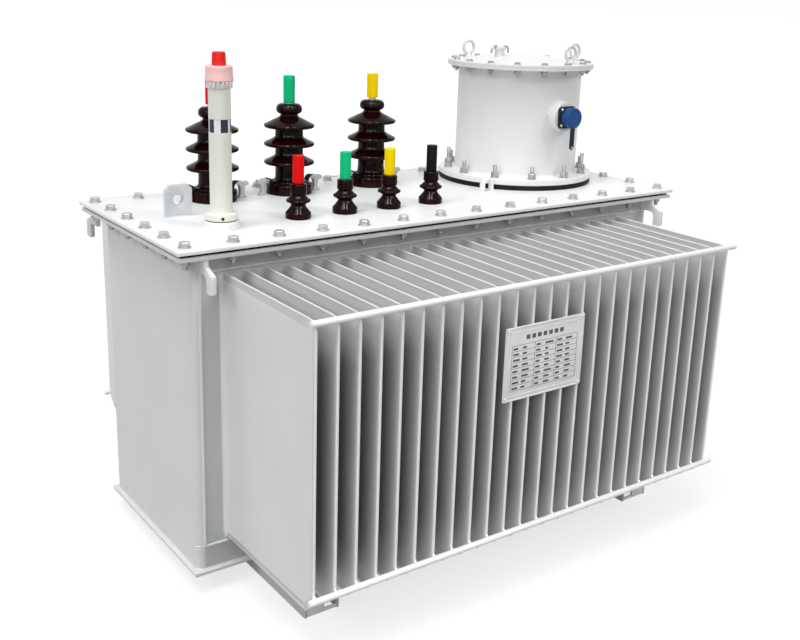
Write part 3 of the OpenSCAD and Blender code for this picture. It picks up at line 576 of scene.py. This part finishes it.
brown_glaze = surface("brown_glaze", (0.007, 0.0013, 0.001), (0.013, 0.0024, 0.0018), 0.05, scale=30.0,
                      gloss=0.08)
sleeve_tints = {"red": ((0.82, 0.005, 0.006), (0.88, 0.008, 0.009), 0.42, 0.05),
                "green": ((0.006, 0.52, 0.22), (0.009, 0.6, 0.25), 0.42, 0.05),
                "yellow": ((0.98, 0.67, 0.001), (1.00, 0.72, 0.002), 0.42, 0.05),
                "black": ((0.005, 0.005, 0.006), (0.01, 0.01, 0.011), 0.38, 0.06)}
sleeve_mats = {tint: surface(tint + "_sleeve", dull, bright, rough, scale=50.0, gloss=gloss)
               for tint, (dull, bright, rough, gloss) in sleeve_tints.items()}
hv_profile = [(0.0, 0.0), (0.0525, 0.0), (0.054, 0.0015), *arc(0.051, 0.021, 0.003, 0, 90, 4),
              (0.0442, 0.024), (0.0431, 0.025), *arc(0.0402, 0.0282, 0.0028, 0, 90, 4), (0.0372, 0.0318),
              (0.0345, 0.034), (0.0331, 0.038), (0.0325, 0.05)]
top_shed = 0.159
for z in (0.074, 0.1165, top_shed):
    hv_profile += [(0.0325, z - 0.011), (0.0335, z - 0.007), (0.0375, z - 0.0048), (0.05, z - 0.0052),
                   *arc(0.0544, z - 0.0004, 0.0046, -95, 62, 10), (0.046, z + 0.0085), (0.0385, z + 0.0125)]
    if z < top_shed:
        hv_profile += [(0.0345, z + 0.015), (0.0328, z + 0.018)]
    else:
        hv_profile += [(0.03, z + 0.0165), (0.024, z + 0.0195)]
hv_profile += [(0.021, 0.1815), (0.0202, 0.1838), (0.0206, 0.1856), *arc(0.0212, 0.1952, 0.009, -75, 0, 6),
               *arc(0.0172, 0.1968, 0.013, 5, 90, 8), (0.0, 0.2099)]
hv_sleeve = [(0.0124, 0.0), (0.0131, 0.0008), (0.0134, 0.003), (0.0135, 0.056), (0.0134, 0.0615),
             (0.0129, 0.0628), (0.012, 0.063), (0.0, 0.063)]
stud_profile = [(0.0, 0.2085), (0.0135, 0.2085), (0.0135, 0.2105), (0.0085, 0.2112), (0.0085, 0.2165),
                (0.0, 0.2165)]
sleeve_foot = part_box("hv_cap_1")[0].z
studs = bmesh.new()
for i, tint, lift in ((1, "red", 0.005), (2, "green", 0.0015), (3, "yellow", 0.005)):
    spot = middle("hv_porcelain_%d" % i)
    bm = bmesh.new()
    turned(bm, hv_profile, at(spot.x, spot.y, lid_top), 64)
    piece("hv_insulator_%d" % i, bm, brown_glaze, "brown_glaze", "hv_porcelain_%d" % i, sharp=32)
    bm = bmesh.new()
    lifted = [(0.0, lift), *[(r, max(z, lift + 0.03 * z)) for r, z in hv_sleeve]]
    turned(bm, lifted, at(spot.x, spot.y, sleeve_foot), 32)
    piece("hv_sleeve_%d" % i, bm, sleeve_mats[tint], tint + "_sleeve", "hv_cap_%d" % i, sharp=50)
    turned(studs, stud_profile, at(spot.x, spot.y, lid_top), 24)
piece("hv_studs", studs, zinc_steel, "zinc_steel", sharp=40)


# Bushing clamps: zinc plated cast claws that stand on the lid, each with a
# strip of black rubber over its nose where it holds the porcelain's foot down.
cast_zinc = surface("cast_zinc", (0.4, 0.41, 0.41), (0.52, 0.53, 0.53), 0.4, metal=0.3, scale=45.0,
                    bump=0.3)
nose = [(0.06, 0.0378), (0.0558, 0.0364), (0.0528, 0.0332)]
claw = [(0.0625, 0.0), (0.0815, 0.0), (0.0815, 0.003), (0.0775, 0.005), (0.0755, 0.011), (0.0762, 0.02),
        (0.079, 0.0262), (0.0856, 0.0285), (0.0868, 0.0312), (0.0862, 0.0358), (0.083, 0.0374),
        (0.0785, 0.036), (0.074, 0.0372), (0.068, 0.039), *nose, (0.056, 0.0312), (0.0605, 0.03),
        (0.064, 0.027), (0.0655, 0.02), (0.065, 0.01), (0.064, 0.0045), (0.0625, 0.003)]
pad = [(0.0612, 0.0392), (0.0545, 0.039), (0.0492, 0.0365), (0.046, 0.0315), (0.045, 0.0243),
       (0.0492, 0.0243), (0.0503, 0.029), *reversed(nose)]
claw_w, claw_edge, pad_w, pad_edge = 0.013, 0.0012, 0.016, 0.0008
bm, pads = bmesh.new(), bmesh.new()
for i in (1, 2, 3):
    spot = middle("hv_porcelain_%d" % i)
    for turn in (0, 180):
        place = at(spot.x, spot.y, lid_top, ("Z", turn))
        plate(bm, [claw], claw_w, place @ at(0, claw_w / 2, 0, ("X", 90)), claw_edge)
        plate(pads, [pad], pad_w, place @ at(0, pad_w / 2, 0, ("X", 90)), pad_edge)
piece("hv_claws", bm, cast_zinc, "zinc_steel", "hv_clamps", sharp=40)
piece("hv_claw_pads", pads, gasket_rubber, "gasket_rubber", sharp=40)


# Low-voltage bushings: four small porcelains in a row, each with a coned foot,
# a double-coned shed and a collar, and a coloured vinyl sleeve on top.
lv_profile = [(0.0, 0.0), (0.0258, 0.0), (0.027, 0.0012), (0.0272, 0.0105),
              *arc(0.0245, 0.0115, 0.0026, 10, 50, 3), (0.0205, 0.02), (0.017, 0.0245), (0.0156, 0.0275),
              (0.016, 0.0295), (0.0195, 0.0325), (0.0235, 0.0355), *arc(0.0226, 0.038, 0.0034, -55, 55, 6),
              (0.0212, 0.0424), (0.018, 0.0462), (0.0152, 0.0488), (0.0146, 0.05), (0.0152, 0.0508),
              *arc(0.015, 0.0535, 0.0025, -80, 0, 4), (0.0172, 0.06), (0.0172, 0.066),
              *arc(0.015, 0.0713, 0.0026, 0, 90, 5), (0.0, 0.074)]
lv_sleeve = [(0.0, 0.0), (0.0114, 0.0), (0.0119, 0.0006), (0.012, 0.003), (0.012, 0.057),
             (0.0118, 0.0586), (0.0112, 0.059), (0.0, 0.059)]
bm = bmesh.new()
for i, tint in enumerate(("red", "green", "yellow", "black"), 1):
    spot, sleeve_foot = middle("lv_cap_%d" % i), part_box("lv_cap_%d" % i)[0].z
    turned(bm, lv_profile, at(spot.x, spot.y, lid_top), 40)
    sleeve = bmesh.new()
    turned(sleeve, lv_sleeve, at(spot.x, spot.y, sleeve_foot), 28)
    piece("lv_sleeve_%d" % i, sleeve, sleeve_mats[tint], tint + "_sleeve", "lv_cap_%d" % i, sharp=50)
piece("lv_insulators", bm, brown_glaze, "brown_glaze", "lv_porcelains", sharp=32)


# Oil gauge: a moulded off-white tube screwed on a steel boss, with a sight
# window, a ribbed clear ring, a pink cap and a red relief knob.
def round_place(r, degrees):
    return r * math.cos(math.radians(degrees)), r * math.sin(math.radians(degrees))


gauge_white = surface("gauge_white", (0.79, 0.8, 0.72), (0.84, 0.85, 0.77), 0.38, scale=12.0, gloss=0.3)
gauge_clear = surface("gauge_clear", (0.62, 0.62, 0.61), (0.86, 0.86, 0.85), 0.12, scale=70.0, coat=0.5)
gauge_pink = surface("gauge_pink", (0.96, 0.57, 0.55), (0.99, 0.63, 0.6), 0.5, scale=30.0, gloss=0.2)
gauge_red = surface("gauge_red", (0.84, 0.018, 0.014), (0.9, 0.024, 0.02), 0.42, scale=30.0, gloss=0.1)
gauge_window = surface("gauge_window", (0.02, 0.028, 0.036), (0.034, 0.044, 0.054), 0.08, scale=25.0,
                       gloss=0.2)
scale_white = surface("scale_white", (0.8, 0.81, 0.86), (0.86, 0.87, 0.92), 0.3, scale=25.0)
spot = middle("gauge_boss")
gauge = at(spot.x, spot.y, lid_top)
boss_top, seal_top, sight_low, sight_high = 0.0178, 0.0196, 0.193, 0.219
ring_low, cap_low, knob_low, tube_r = 0.278, 0.292, 0.321, 0.022

bm = bmesh.new()
turned(bm, [(0.02, 0.0), (0.037, 0.0), (0.037, 0.016), (0.0362, 0.0174), (0.0345, boss_top),
            (0.02, boss_top)], gauge)
piece("gauge_boss_ring", bm, pale_paint_and_painted_light, "lid_paint", sharp=32)

bm = bmesh.new()
turned(bm, [(0.015, seal_top), (0.0322, seal_top), (0.033, 0.0204), (0.0331, 0.0304), (0.0324, 0.0322),
            (0.0305, 0.0329), (0.0262, 0.0331), (0.024, 0.0345), (0.0228, 0.0385), (0.0221, 0.046),
            (tube_r, sight_low - 0.0005), (0.0214, sight_low), (0.0205, sight_low)], gauge)
turned(bm, [(0.0205, sight_high), (0.0214, sight_high), (tube_r, sight_high + 0.0005), (0.0219, ring_low),
            (0.0, ring_low)], gauge)
piece("gauge_tube_moulding", bm, gauge_white, "gauge_white", "gauge_boss", "gauge_tube", sharp=32)

glass_r, scale_r, scale_inset = 0.0212, 0.0215, 0.0002
bm = bmesh.new()
turned(bm, [(glass_r, sight_low), (glass_r, sight_high)], gauge)
piece("gauge_window", bm, gauge_window, "gauge_clear", sharp=60)
bm = bmesh.new()
for first, last in ((-148, -112), (-70, -52), (-36, 14), (44, 88), (112, 176)):
    part = bmesh.new()
    verts = [part.verts.new((*p, 0.0)) for p in arc(0.0, 0.0, scale_r, first, last, 8)]
    edges = [part.edges.new(pair) for pair in zip(verts, verts[1:])]
    drawn = bmesh.ops.extrude_edge_only(part, edges=edges)["geom"]
    top = [g for g in drawn if isinstance(g, bmesh.types.BMVert)]
    bmesh.ops.translate(part, verts=top, vec=(0, 0, sight_high - sight_low - 2 * scale_inset))
    add(bm, part, gauge @ at(0, 0, sight_low + scale_inset))
piece("gauge_scale", bm, scale_white, "gauge_white", sharp=60)

rib_count, rib_out, rib_r, rib_edge, rib_inset = 18, 0.0234, 0.0028, 0.0004, 0.0005
bm = bmesh.new()
turned(bm, [(0.0, ring_low), (0.0232, ring_low), (0.0232, cap_low), (0.0, cap_low)], gauge)
for i in range(rib_count):
    x, y = round_place(rib_out, 360 * i / rib_count)
    foot, top = [gauge @ Vector((x, y, z)) for z in (ring_low + rib_inset, cap_low - rib_inset)]
    rod(bm, foot, top, rib_r, 8, rib_edge)
piece("gauge_ribbed_ring", bm, gauge_clear, "gauge_clear", "gauge_ring", sharp=40)

bm = bmesh.new()
turned(bm, [(0.0, cap_low), (0.0276, cap_low), (0.028, 0.2925), (0.0279, 0.2965), (0.027, 0.2985),
            (0.0266, 0.314), *arc(0.0236, 0.318, 0.0028, 0, 90, 4), (0.015, knob_low), (0.0, knob_low)],
       gauge)
piece("gauge_pink_cap", bm, gauge_pink, "gauge_pink", "gauge_cap", sharp=36)
bm = bmesh.new()
turned(bm, [(0.0, knob_low), (0.014, knob_low), (0.0138, 0.33), (0.013, 0.343),
            *arc(0.0106, 0.3447, 0.0022, 10, 90, 4), (0.0, 0.347)], gauge, 40)
piece("gauge_red_knob", bm, gauge_red, "gauge_red", "gauge_knob", sharp=40)

screw_r, screw_l, screw_z, screw_turn, screw_edge = 0.0032, 0.0341, 0.0256, -111, 0.0003
bm = bmesh.new()
disc(bm, screw_r, screw_l, gauge @ at(0, 0, screw_z, ("Z", screw_turn), ("Y", 90)), 12, screw_edge)
turned(bm, [(0.02, boss_top), (0.0316, boss_top), (0.0316, seal_top), (0.02, seal_top)], gauge, 40)
piece("gauge_screw", bm, gasket_rubber, "connector_black", sharp=40)


# Switch turret: a rolled white-painted drum with a foot flange on a thick black
# gasket, a top flange and a slightly domed cover, bolted all round with zinc bolts.
turret_paint = surface("turret_paint", (0.79, 0.792, 0.795), (0.83, 0.832, 0.835), 0.32, scale=4.0, bump=0.04,
                       gloss=0.2)
turret_x, turret_y = middle("connector_flange").x, middle("turret_body").y
turret = at(turret_x, turret_y, lid_top)
low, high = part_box("turret_body")
foot_low, drum_top, foot_t, flange_t, cover_t = low.z - lid_top, high.z - lid_top, 0.014, 0.006, 0.008
foot_high, flange_low, cover_top = foot_low + foot_t, drum_top - flange_t, drum_top + cover_t
bore_r, drum_r, foot_r, flange_r, seal_r, edge = 0.153, 0.158, 0.199, 0.187, 0.1985, 0.001

bm = bmesh.new()
turned(bm, [(bore_r, 0.0), (seal_r - edge, 0.0), (seal_r, edge), (seal_r, foot_low - edge),
            (seal_r - edge, foot_low), (bore_r, foot_low), (bore_r, 0.0)], turret, 96)
piece("turret_foot_gasket", bm, gasket_rubber, "gasket_rubber", "turret_gasket", sharp=40)

foot_edge, socket_z, boss_r, boss_root, boss_face = 0.0015, 0.178, 0.037, -0.15, -0.178
bm = bmesh.new()
turned(bm, [(bore_r, foot_low), (foot_r - foot_edge, foot_low), (foot_r, foot_low + foot_edge),
            (foot_r, foot_high - foot_edge), (foot_r - foot_edge, foot_high),
            (0.165, foot_high), (0.1612, foot_high + 0.001), (0.159, foot_high + 0.0032),
            (drum_r, foot_high + 0.007), (drum_r, flange_low - 0.007), (0.159, flange_low - 0.0032),
            (0.162, flange_low - 0.001), (0.166, flange_low),
            (flange_r - edge, flange_low), (flange_r, flange_low + edge), (flange_r, drum_top - edge),
            (flange_r - edge, drum_top), (bore_r, drum_top), (bore_r, foot_low)], turret, 128)
turned(bm, [(0.03, boss_root), (boss_r, boss_root), (boss_r, -0.1755), (0.0355, -0.1775),
            (0.03, boss_face), (0.0, boss_face)], turret @ at(0, 0, socket_z, ("X", -90)))
boss_weld, boss_weld_r, weld_steps, seam_turn, seam_in, seam_r = 0.0026, 0.0375, 36, 58, 0.0002, 0.0022
ring_line = [round_place(boss_weld_r, 360 * k / weld_steps) for k in range(weld_steps)]
weld_line = [turret @ Vector((x, -math.sqrt(drum_r ** 2 - x ** 2), socket_z + z)) for x, z in ring_line]
bead(bm, weld_line, boss_weld, closed=True)
x, y = round_place(drum_r - seam_in, seam_turn)
bead(bm, [turret @ Vector((x, y, z)) for z in (0.022, 0.286)], seam_r)
piece("turret_drum", bm, turret_paint, "turret_paint", "turret_body", sharp=32)

dome_r, dome_h, cover_gap, cover_edge = 0.155, 0.014, 0.0001, 0.0012
dome = (dome_r ** 2 + dome_h ** 2) / (2 * dome_h)
bm = bmesh.new()
turned(bm, [(0.0, drum_top + cover_gap), (flange_r - edge, drum_top + cover_gap), (flange_r, drum_top + edge),
            (flange_r, cover_top - cover_edge), (flange_r - cover_edge, cover_top), (0.16, cover_top)]
       + [(r, cover_top + dome_h - dome + math.sqrt(dome ** 2 - r ** 2))
          for r in (dome_r, 0.15, 0.14, 0.125, 0.1, 0.07, 0.04, 0.015)]
       + [(0.0, cover_top + dome_h)], turret, 128)
piece("turret_lid", bm, turret_paint, "turret_paint", "turret_cover", sharp=32)

foot_count, foot_circle, foot_turn, long_studs, stud_r = 12, 0.178, 2.5, (5, 10), 0.0049
washer_r, washer_t, spring_r, spring_t, nut_w, nut_h = 0.0115, 0.002, 0.0088, 0.0026, 0.0168, 0.009
nut_z, lock_z = foot_high + washer_t + spring_t, foot_high + 0.0146
bm = bmesh.new()
for k in range(foot_count):
    x, y = round_place(foot_circle, foot_turn + 360 * k / foot_count)
    stud_top = foot_high + (0.052 if k in long_studs else 0.031)
    disc(bm, washer_r, washer_t, turret @ at(x, y, foot_high), 18)
    disc(bm, spring_r, spring_t, turret @ at(x, y, foot_high + washer_t), 14)
    hexagon(bm, nut_w, nut_h, turret @ at(x, y, nut_z, ("Z", random.uniform(0, 60))))
    if k in long_studs:
        hexagon(bm, nut_w, nut_h, turret @ at(x, y, lock_z, ("Z", random.uniform(0, 60))))
    rod(bm, turret @ Vector((x, y, foot_high)), turret @ Vector((x, y, stud_top)), stud_r, 12)
cover_count, cover_circle, cover_turn, head_w, head_h = 16, 0.171, 0.7, 0.013, 0.0042
top_r, top_t, under_r, under_t = 0.0095, 0.0014, 0.0092, 0.0018
under_h, under_end, screw_r = 0.007, 0.005, 0.004
nut_z = flange_low - under_t - under_h
for k in range(cover_count):
    x, y = round_place(cover_circle, cover_turn + 360 * k / cover_count)
    disc(bm, top_r, top_t, turret @ at(x, y, cover_top), 16)
    hexagon(bm, head_w, head_h, turret @ at(x, y, cover_top + top_t, ("Z", random.uniform(0, 60))))
    disc(bm, under_r, under_t, turret @ at(x, y, flange_low - under_t), 16)
    hexagon(bm, head_w, under_h, turret @ at(x, y, nut_z, ("Z", random.uniform(0, 60))))
    rod(bm, turret @ Vector((x, y, nut_z)), turret @ Vector((x, y, nut_z - under_end)), screw_r, 10)
piece("turret_bolts", bm, stud_zinc_and_shade, "zinc_steel", sharp=30)


# Eye bolts and vent: three forged lifting eyes screwed into the cover's rim and a
# capped vent plug on the dome, all painted pale grey, with two bent zinc wire arms.
def ring(bm, r, bar_r, place, turns=36, sides=12):
    turned(bm, [(r + px, pz) for px, pz in arc(0.0, 0.0, bar_r, 0, 360, sides)], place, turns)


eye_circle, eye_r, eye_bar, eye_z = 0.148, 0.017, 0.004, 0.025
eye_foot = [(0.0, 0.001), (0.01, 0.001), (0.01, 0.0052), (0.0082, 0.0072), (0.0064, 0.009),
            (0.0, 0.01)]
bm = bmesh.new()
for turn in (116, 284, 338):
    x, y = round_place(eye_circle, turn)
    turned(bm, eye_foot, turret @ at(x, y, cover_top), 24)
    ring(bm, eye_r, eye_bar, turret @ at(x, y, cover_top + eye_z, ("X", 90)))
piece("eye_bolts", bm, tank_paint, "turret_paint", "turret_eye_bolts", sharp=50)

vent = turret @ at(middle("vent_plug").x - turret_x, 0, cover_top + 0.009)
bm = bmesh.new()
turned(bm, [(0.0, 0.0), (0.013, 0.0), (0.013, 0.004), (0.0122, 0.005), (0.0122, 0.017), (0.015, 0.018),
            (0.015, 0.024), (0.0138, 0.0252), (0.0, 0.0255)], vent, 32)
piece("vent_stub", bm, tank_paint, "turret_paint", "vent_plug", sharp=34)
arm_r, arm_step = 0.0027, 0.003
arm = ((0.008, 0.0255), (0.015, 0.0275), (0.0215, 0.0265), (0.0262, 0.022), (0.0275, 0.016),
       (0.0275, 0.0095))
bm = bmesh.new()
for side in (-1, 1):
    bead(bm, [vent @ Vector((side * dx, 0.0, z)) for dx, z in arm], arm_r, 0.0, arm_step)
piece("vent_arms", bm, stud_zinc_and_shade, "zinc_steel", sharp=60)


# Cable connector: a black moulded flange screwed to the turret's boss, a blue
# screw cap over the socket and a black strap that hangs from the cap.
connector_black = surface("connector_black", (0.01, 0.01, 0.011), (0.02, 0.02, 0.021), 0.42, scale=70.0,
                          gloss=0.2)
connector_blue = surface("connector_blue", (0.01, 0.062, 0.22), (0.014, 0.08, 0.27), 0.38, scale=40.0,
                         gloss=0.2)
low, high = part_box("connector_flange")
socket = at(turret_x, high.y, lid_top + socket_z, ("X", 90))
flange_half, flange_t, corner_r, flange_edge = (high.x - low.x) / 2, high.y - low.y, 0.011, 0.0012
cap_low, collar_r = 0.0095, 0.0232
bm = bmesh.new()
plate(bm, [round_corners(flange_half - corner_r, flange_half - corner_r, corner_r, 6)], flange_t, socket,
      flange_edge)
turned(bm, [(0.02, flange_t), (collar_r, flange_t), (collar_r, cap_low), (0.02, cap_low)], socket, 40)
piece("socket_flange", bm, connector_black, "connector_black", "connector_flange", sharp=36)

screw_out, screw_size = 0.0195, (0.0038, 0.003, 0.0038)
bm = bmesh.new()
for sx, sy, _ in corners:
    ball(bm, socket @ Vector((sx * screw_out, sy * screw_out, flange_t)), screw_size, 14, 8)
piece("socket_screws", bm, zinc_steel, "zinc_steel", sharp=50)

grip_count, grip_foot, grip_top, grip_r = 30, (0.0229, 0.012), (0.0235, 0.0205), 0.0011
bm = bmesh.new()
turned(bm, [(0.018, cap_low), (collar_r, cap_low), (0.0237, 0.0105), (0.024, 0.021), (0.0248, 0.0216),
            (0.025, 0.023), (0.025, 0.03), (0.0242, 0.0314), (0.0222, 0.0318), (0.0216, 0.031),
            (0.0, 0.0308)], socket)
for k in range(grip_count):
    a, b = [socket @ Vector((*round_place(r, 360 * k / grip_count), z)) for r, z in (grip_foot, grip_top)]
    rod(bm, a, b, grip_r, 6, 0.0)
piece("socket_cap", bm, connector_blue, "connector_blue", "connector_cap", sharp=36)

strap_r, strap_top, strap_end, strap_hole, strap_t, strap_edge = 0.0062, -0.024, -0.0705, 0.003, 0.005, 0.0008
rib_half, rib_top, rib_low, rib_t, rib_edge = 0.0022, -0.027, -0.063, 0.0012, 0.0004
tail = [(-strap_r, strap_top), *arc(0.0, strap_end, strap_r, 180, 360, 10), (strap_r, strap_top)]
rib = [(-rib_half, rib_top), (-rib_half, rib_low), (rib_half, rib_low), (rib_half, rib_top)]
bm = bmesh.new()
plate(bm, [tail, arc(0.0, strap_end, strap_hole, 0, 337.5, 15)], strap_t, socket @ at(0, 0, 0.0245),
      strap_edge)
plate(bm, [rib], rib_t, socket @ at(0, 0, 0.0292), rib_edge)
piece("cap_strap", bm, connector_black, "connector_black", "connector_strap", sharp=40)
bm = bmesh.new()
ring(bm, 0.0042, 0.0011, socket @ at(0, -0.0745, 0.027, ("Y", 90)), 20, 8)
piece("strap_eyelet", bm, zinc_steel, "zinc_steel", sharp=60)


# Nameplate: an etched aluminium sheet with a rolled border, held to the fin tips by
# four dome-headed rivets. Its ruled table has blank marks in place of any wording.
plate_aluminium = surface("plate_aluminium", (0.7, 0.705, 0.71), (0.77, 0.775, 0.78), 0.42, metal=0.15,
                          scale=25.0, bump=0.05)
plate_rule = surface("plate_rule", (0.07, 0.072, 0.075), (0.14, 0.142, 0.145), 0.5, scale=40.0, gloss=0.2)
low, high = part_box("nameplate")
spot = middle("nameplate")
face = at(spot.x, low.y, spot.z, ("X", 90))
wide, tall, plate_t = (high.x - low.x) / 2, (high.z - low.z) / 2, 0.002
corner_r, plate_edge, border_up, rivet_in = 0.004, 0.0007, 0.0001, 0.0068
rivet_size = (0.0034, 0.0018, 0.0034)
bm = bmesh.new()
plate(bm, [round_corners(wide - corner_r, tall - corner_r, corner_r, 5)], plate_t, face @ at(0, 0, -plate_t),
      plate_edge)
for inset, r in ((0.0025, 0.0014), (0.011, 0.0008)):
    border = [(sx * (wide - inset), sy * (tall - inset)) for sx, sy, _ in corners]
    bead(bm, [face @ Vector((x, y, border_up)) for x, y in border], r, 0.0, 0.02, closed=True)
for sx, sy, _ in corners:
    ball(bm, face @ Vector((sx * (wide - rivet_in), sy * (tall - rivet_in), 0.0)), rivet_size, 12, 8)
piece("rating_plate", bm, plate_aluminium, "plate_aluminium", "nameplate", sharp=40)


def mark(bm, x, y, w, h):
    mark_t = 0.0002
    plate(bm, [[(x, y), (x + w, y), (x + w, y + h), (x, y + h)]], mark_t, face)


table_half, table_top, row_h, row_count, rule_w = 0.088, 0.038, 0.0118, 8, 0.0007
table_low, mark_y, mark_h = -0.0564, 0.0295, 0.0042
title_x, title_y, title_w, title_h, title_step, title_count = -0.052, 0.0475, 0.0095, 0.009, 0.015, 7
bm = bmesh.new()
for i in range(row_count + 1):
    mark(bm, -table_half, table_top - row_h * i, 2 * table_half, rule_w)
for x in (-table_half, -0.028, 0.028, table_half - rule_w):
    mark(bm, x, table_low, rule_w, table_top + rule_w - table_low)
for i in range(row_count):
    for x in (-0.084, -0.024, 0.032):
        for start, length in ((0.0, random.uniform(0.01, 0.018)), (0.024, random.uniform(0.008, 0.022))):
            mark(bm, x + start, mark_y - row_h * i, length, mark_h)
for i in range(title_count):
    mark(bm, title_x + title_step * i, title_y, title_w, title_h)
piece("rating_plate_rules", bm, plate_rule, "plate_aluminium", sharp=60)


# Floor, light and camera: a plain white floor and backdrop under broad soft light
# from above, the left and the front, seen from the photograph's corner.
def backdrop_rays(nodes, links):
    # The rays that see the white backdrop: from the camera, off gloss and through glass
    path = nodes.new("ShaderNodeLightPath")
    rays = path.outputs["Is Camera Ray"]
    for kind in ("Is Glossy Ray", "Is Transmission Ray"):
        rays = maths(nodes, links, "MAXIMUM", rays, path.outputs[kind])
    return rays


white, floor_half, floor_glow = (1.0, 1.0, 1.0, 1.0), 60.0, 0.71
bm = bmesh.new()
bmesh.ops.create_grid(bm, x_segments=1, y_segments=1, size=floor_half)
mesh = bpy.data.meshes.new("floor")
bm.to_mesh(mesh)
bm.free()
floor = bpy.data.objects.new("floor", mesh)
bpy.context.scene.collection.objects.link(floor)
floor_white = surface("floor_white", (0.31, 0.31, 0.31), (0.33, 0.33, 0.33), 0.9, scale=1.0, gloss=0.1)
nodes, links = floor_white.node_tree.nodes, floor_white.node_tree.links
shader = nodes["Principled BSDF"]
glow = maths(nodes, links, "MULTIPLY", backdrop_rays(nodes, links), floor_glow)
shader.inputs["Emission Color"].default_value = white
links.new(glow, shader.inputs["Emission Strength"])
mesh.materials.append(floor_white)

sky_tint, sky_level, sky_top = (0.97, 0.99, 1.0, 1.0), 0.05, 0.5
world = bpy.data.worlds.new("studio")
bpy.context.scene.world = world
world.use_nodes = True
nodes, links = world.node_tree.nodes, world.node_tree.links
sky, seen = nodes["Background"], nodes.new("ShaderNodeBackground")
sky.inputs["Color"].default_value = sky_tint
seen.inputs["Color"].default_value = white
coords, height = nodes.new("ShaderNodeTexCoord"), nodes.new("ShaderNodeSeparateXYZ")
fall, mix = nodes.new("ShaderNodeMapRange"), nodes.new("ShaderNodeMixShader")
fall.inputs["To Min"].default_value = sky_level
fall.inputs["To Max"].default_value = sky_top
links.new(coords.outputs["Generated"], height.inputs["Vector"])
links.new(height.outputs["Z"], fall.inputs["Value"])
links.new(fall.outputs["Result"], sky.inputs["Strength"])
links.new(backdrop_rays(nodes, links), mix.inputs["Fac"])
links.new(sky.outputs["Background"], mix.inputs[1])
links.new(seen.outputs["Background"], mix.inputs[2])
links.new(mix.outputs["Shader"], nodes["World Output"].inputs["Surface"])

for name, towards, soft, strength in (("window_light", (0.78, 0.06, -0.62), 18.0, 0.6),
                                      ("roof_light", (0.3, 0.12, -0.95), 28.0, 1.28),
                                      ("left_light", (0.7, 0.52, -0.49), 45.0, 0.69),
                                      ("front_light", (-0.4, 0.68, -0.6), 20.0, 0.88)):
    lamp = bpy.data.lights.new(name, "SUN")
    lamp.angle = math.radians(soft)
    lamp.energy = strength
    obj = bpy.data.objects.new(name, lamp)
    obj.location = (0.0, 0.0, 3.0)
    obj.rotation_mode = "QUATERNION"
    obj.rotation_quaternion = Vector(towards).to_track_quat("-Z", "Y")
    bpy.context.scene.collection.objects.link(obj)

strip_aim, strip_away, camera_side = Vector((-0.15, 0.0, 0.8)), 3.2, -126.0
for name, turn, rise, wide, tall, power in (("long_strip", 0.0, 16.0, 6.0, 0.35, 70.0),
                                            ("left_strip", -10.0, 55.0, 0.28, 2.6, 90.0),
                                            ("right_strip", 40.0, 55.0, 0.28, 2.6, 90.0)):
    lamp = bpy.data.lights.new(name, "AREA")
    lamp.shape, lamp.size, lamp.size_y, lamp.energy = "RECTANGLE", wide, tall, power
    obj = bpy.data.objects.new(name, lamp)
    side, up = math.radians(turn + camera_side), math.radians(rise)
    away = Vector((math.cos(side) * math.cos(up), math.sin(side) * math.cos(up), math.sin(up)))
    obj.location = strip_aim + away * strip_away
    obj.rotation_mode = "QUATERNION"
    obj.rotation_quaternion = away.to_track_quat("Z", "Y")
    obj.visible_camera = False
    obj.visible_diffuse = False
    bpy.context.scene.collection.objects.link(obj)

yaw, pitch, roll = 0.628, 0.272, -0.031
ahead = Vector((math.sin(yaw) * math.cos(pitch), math.cos(yaw) * math.cos(pitch), -math.sin(pitch)))
across = Vector((math.cos(yaw), -math.sin(yaw), 0.0))
down = ahead.cross(across)
right = across * math.cos(roll) + down * math.sin(roll)
under = down * math.cos(roll) - across * math.sin(roll)
camera = bpy.data.cameras.new("camera")
camera.sensor_width = 36.0
camera.lens = 46.5
camera.shift_y = -0.0558
camera.clip_start, camera.clip_end = 0.05, 200.0
view = bpy.data.objects.new("camera", camera)
view.matrix_world = Matrix((right, -under, -ahead)).transposed().to_4x4()
view.location = (-1.412, -1.9666, 1.2141)
bpy.context.scene.collection.objects.link(view)
bpy.context.scene.camera = view
bpy.context.scene.view_settings.view_transform = "Standard"
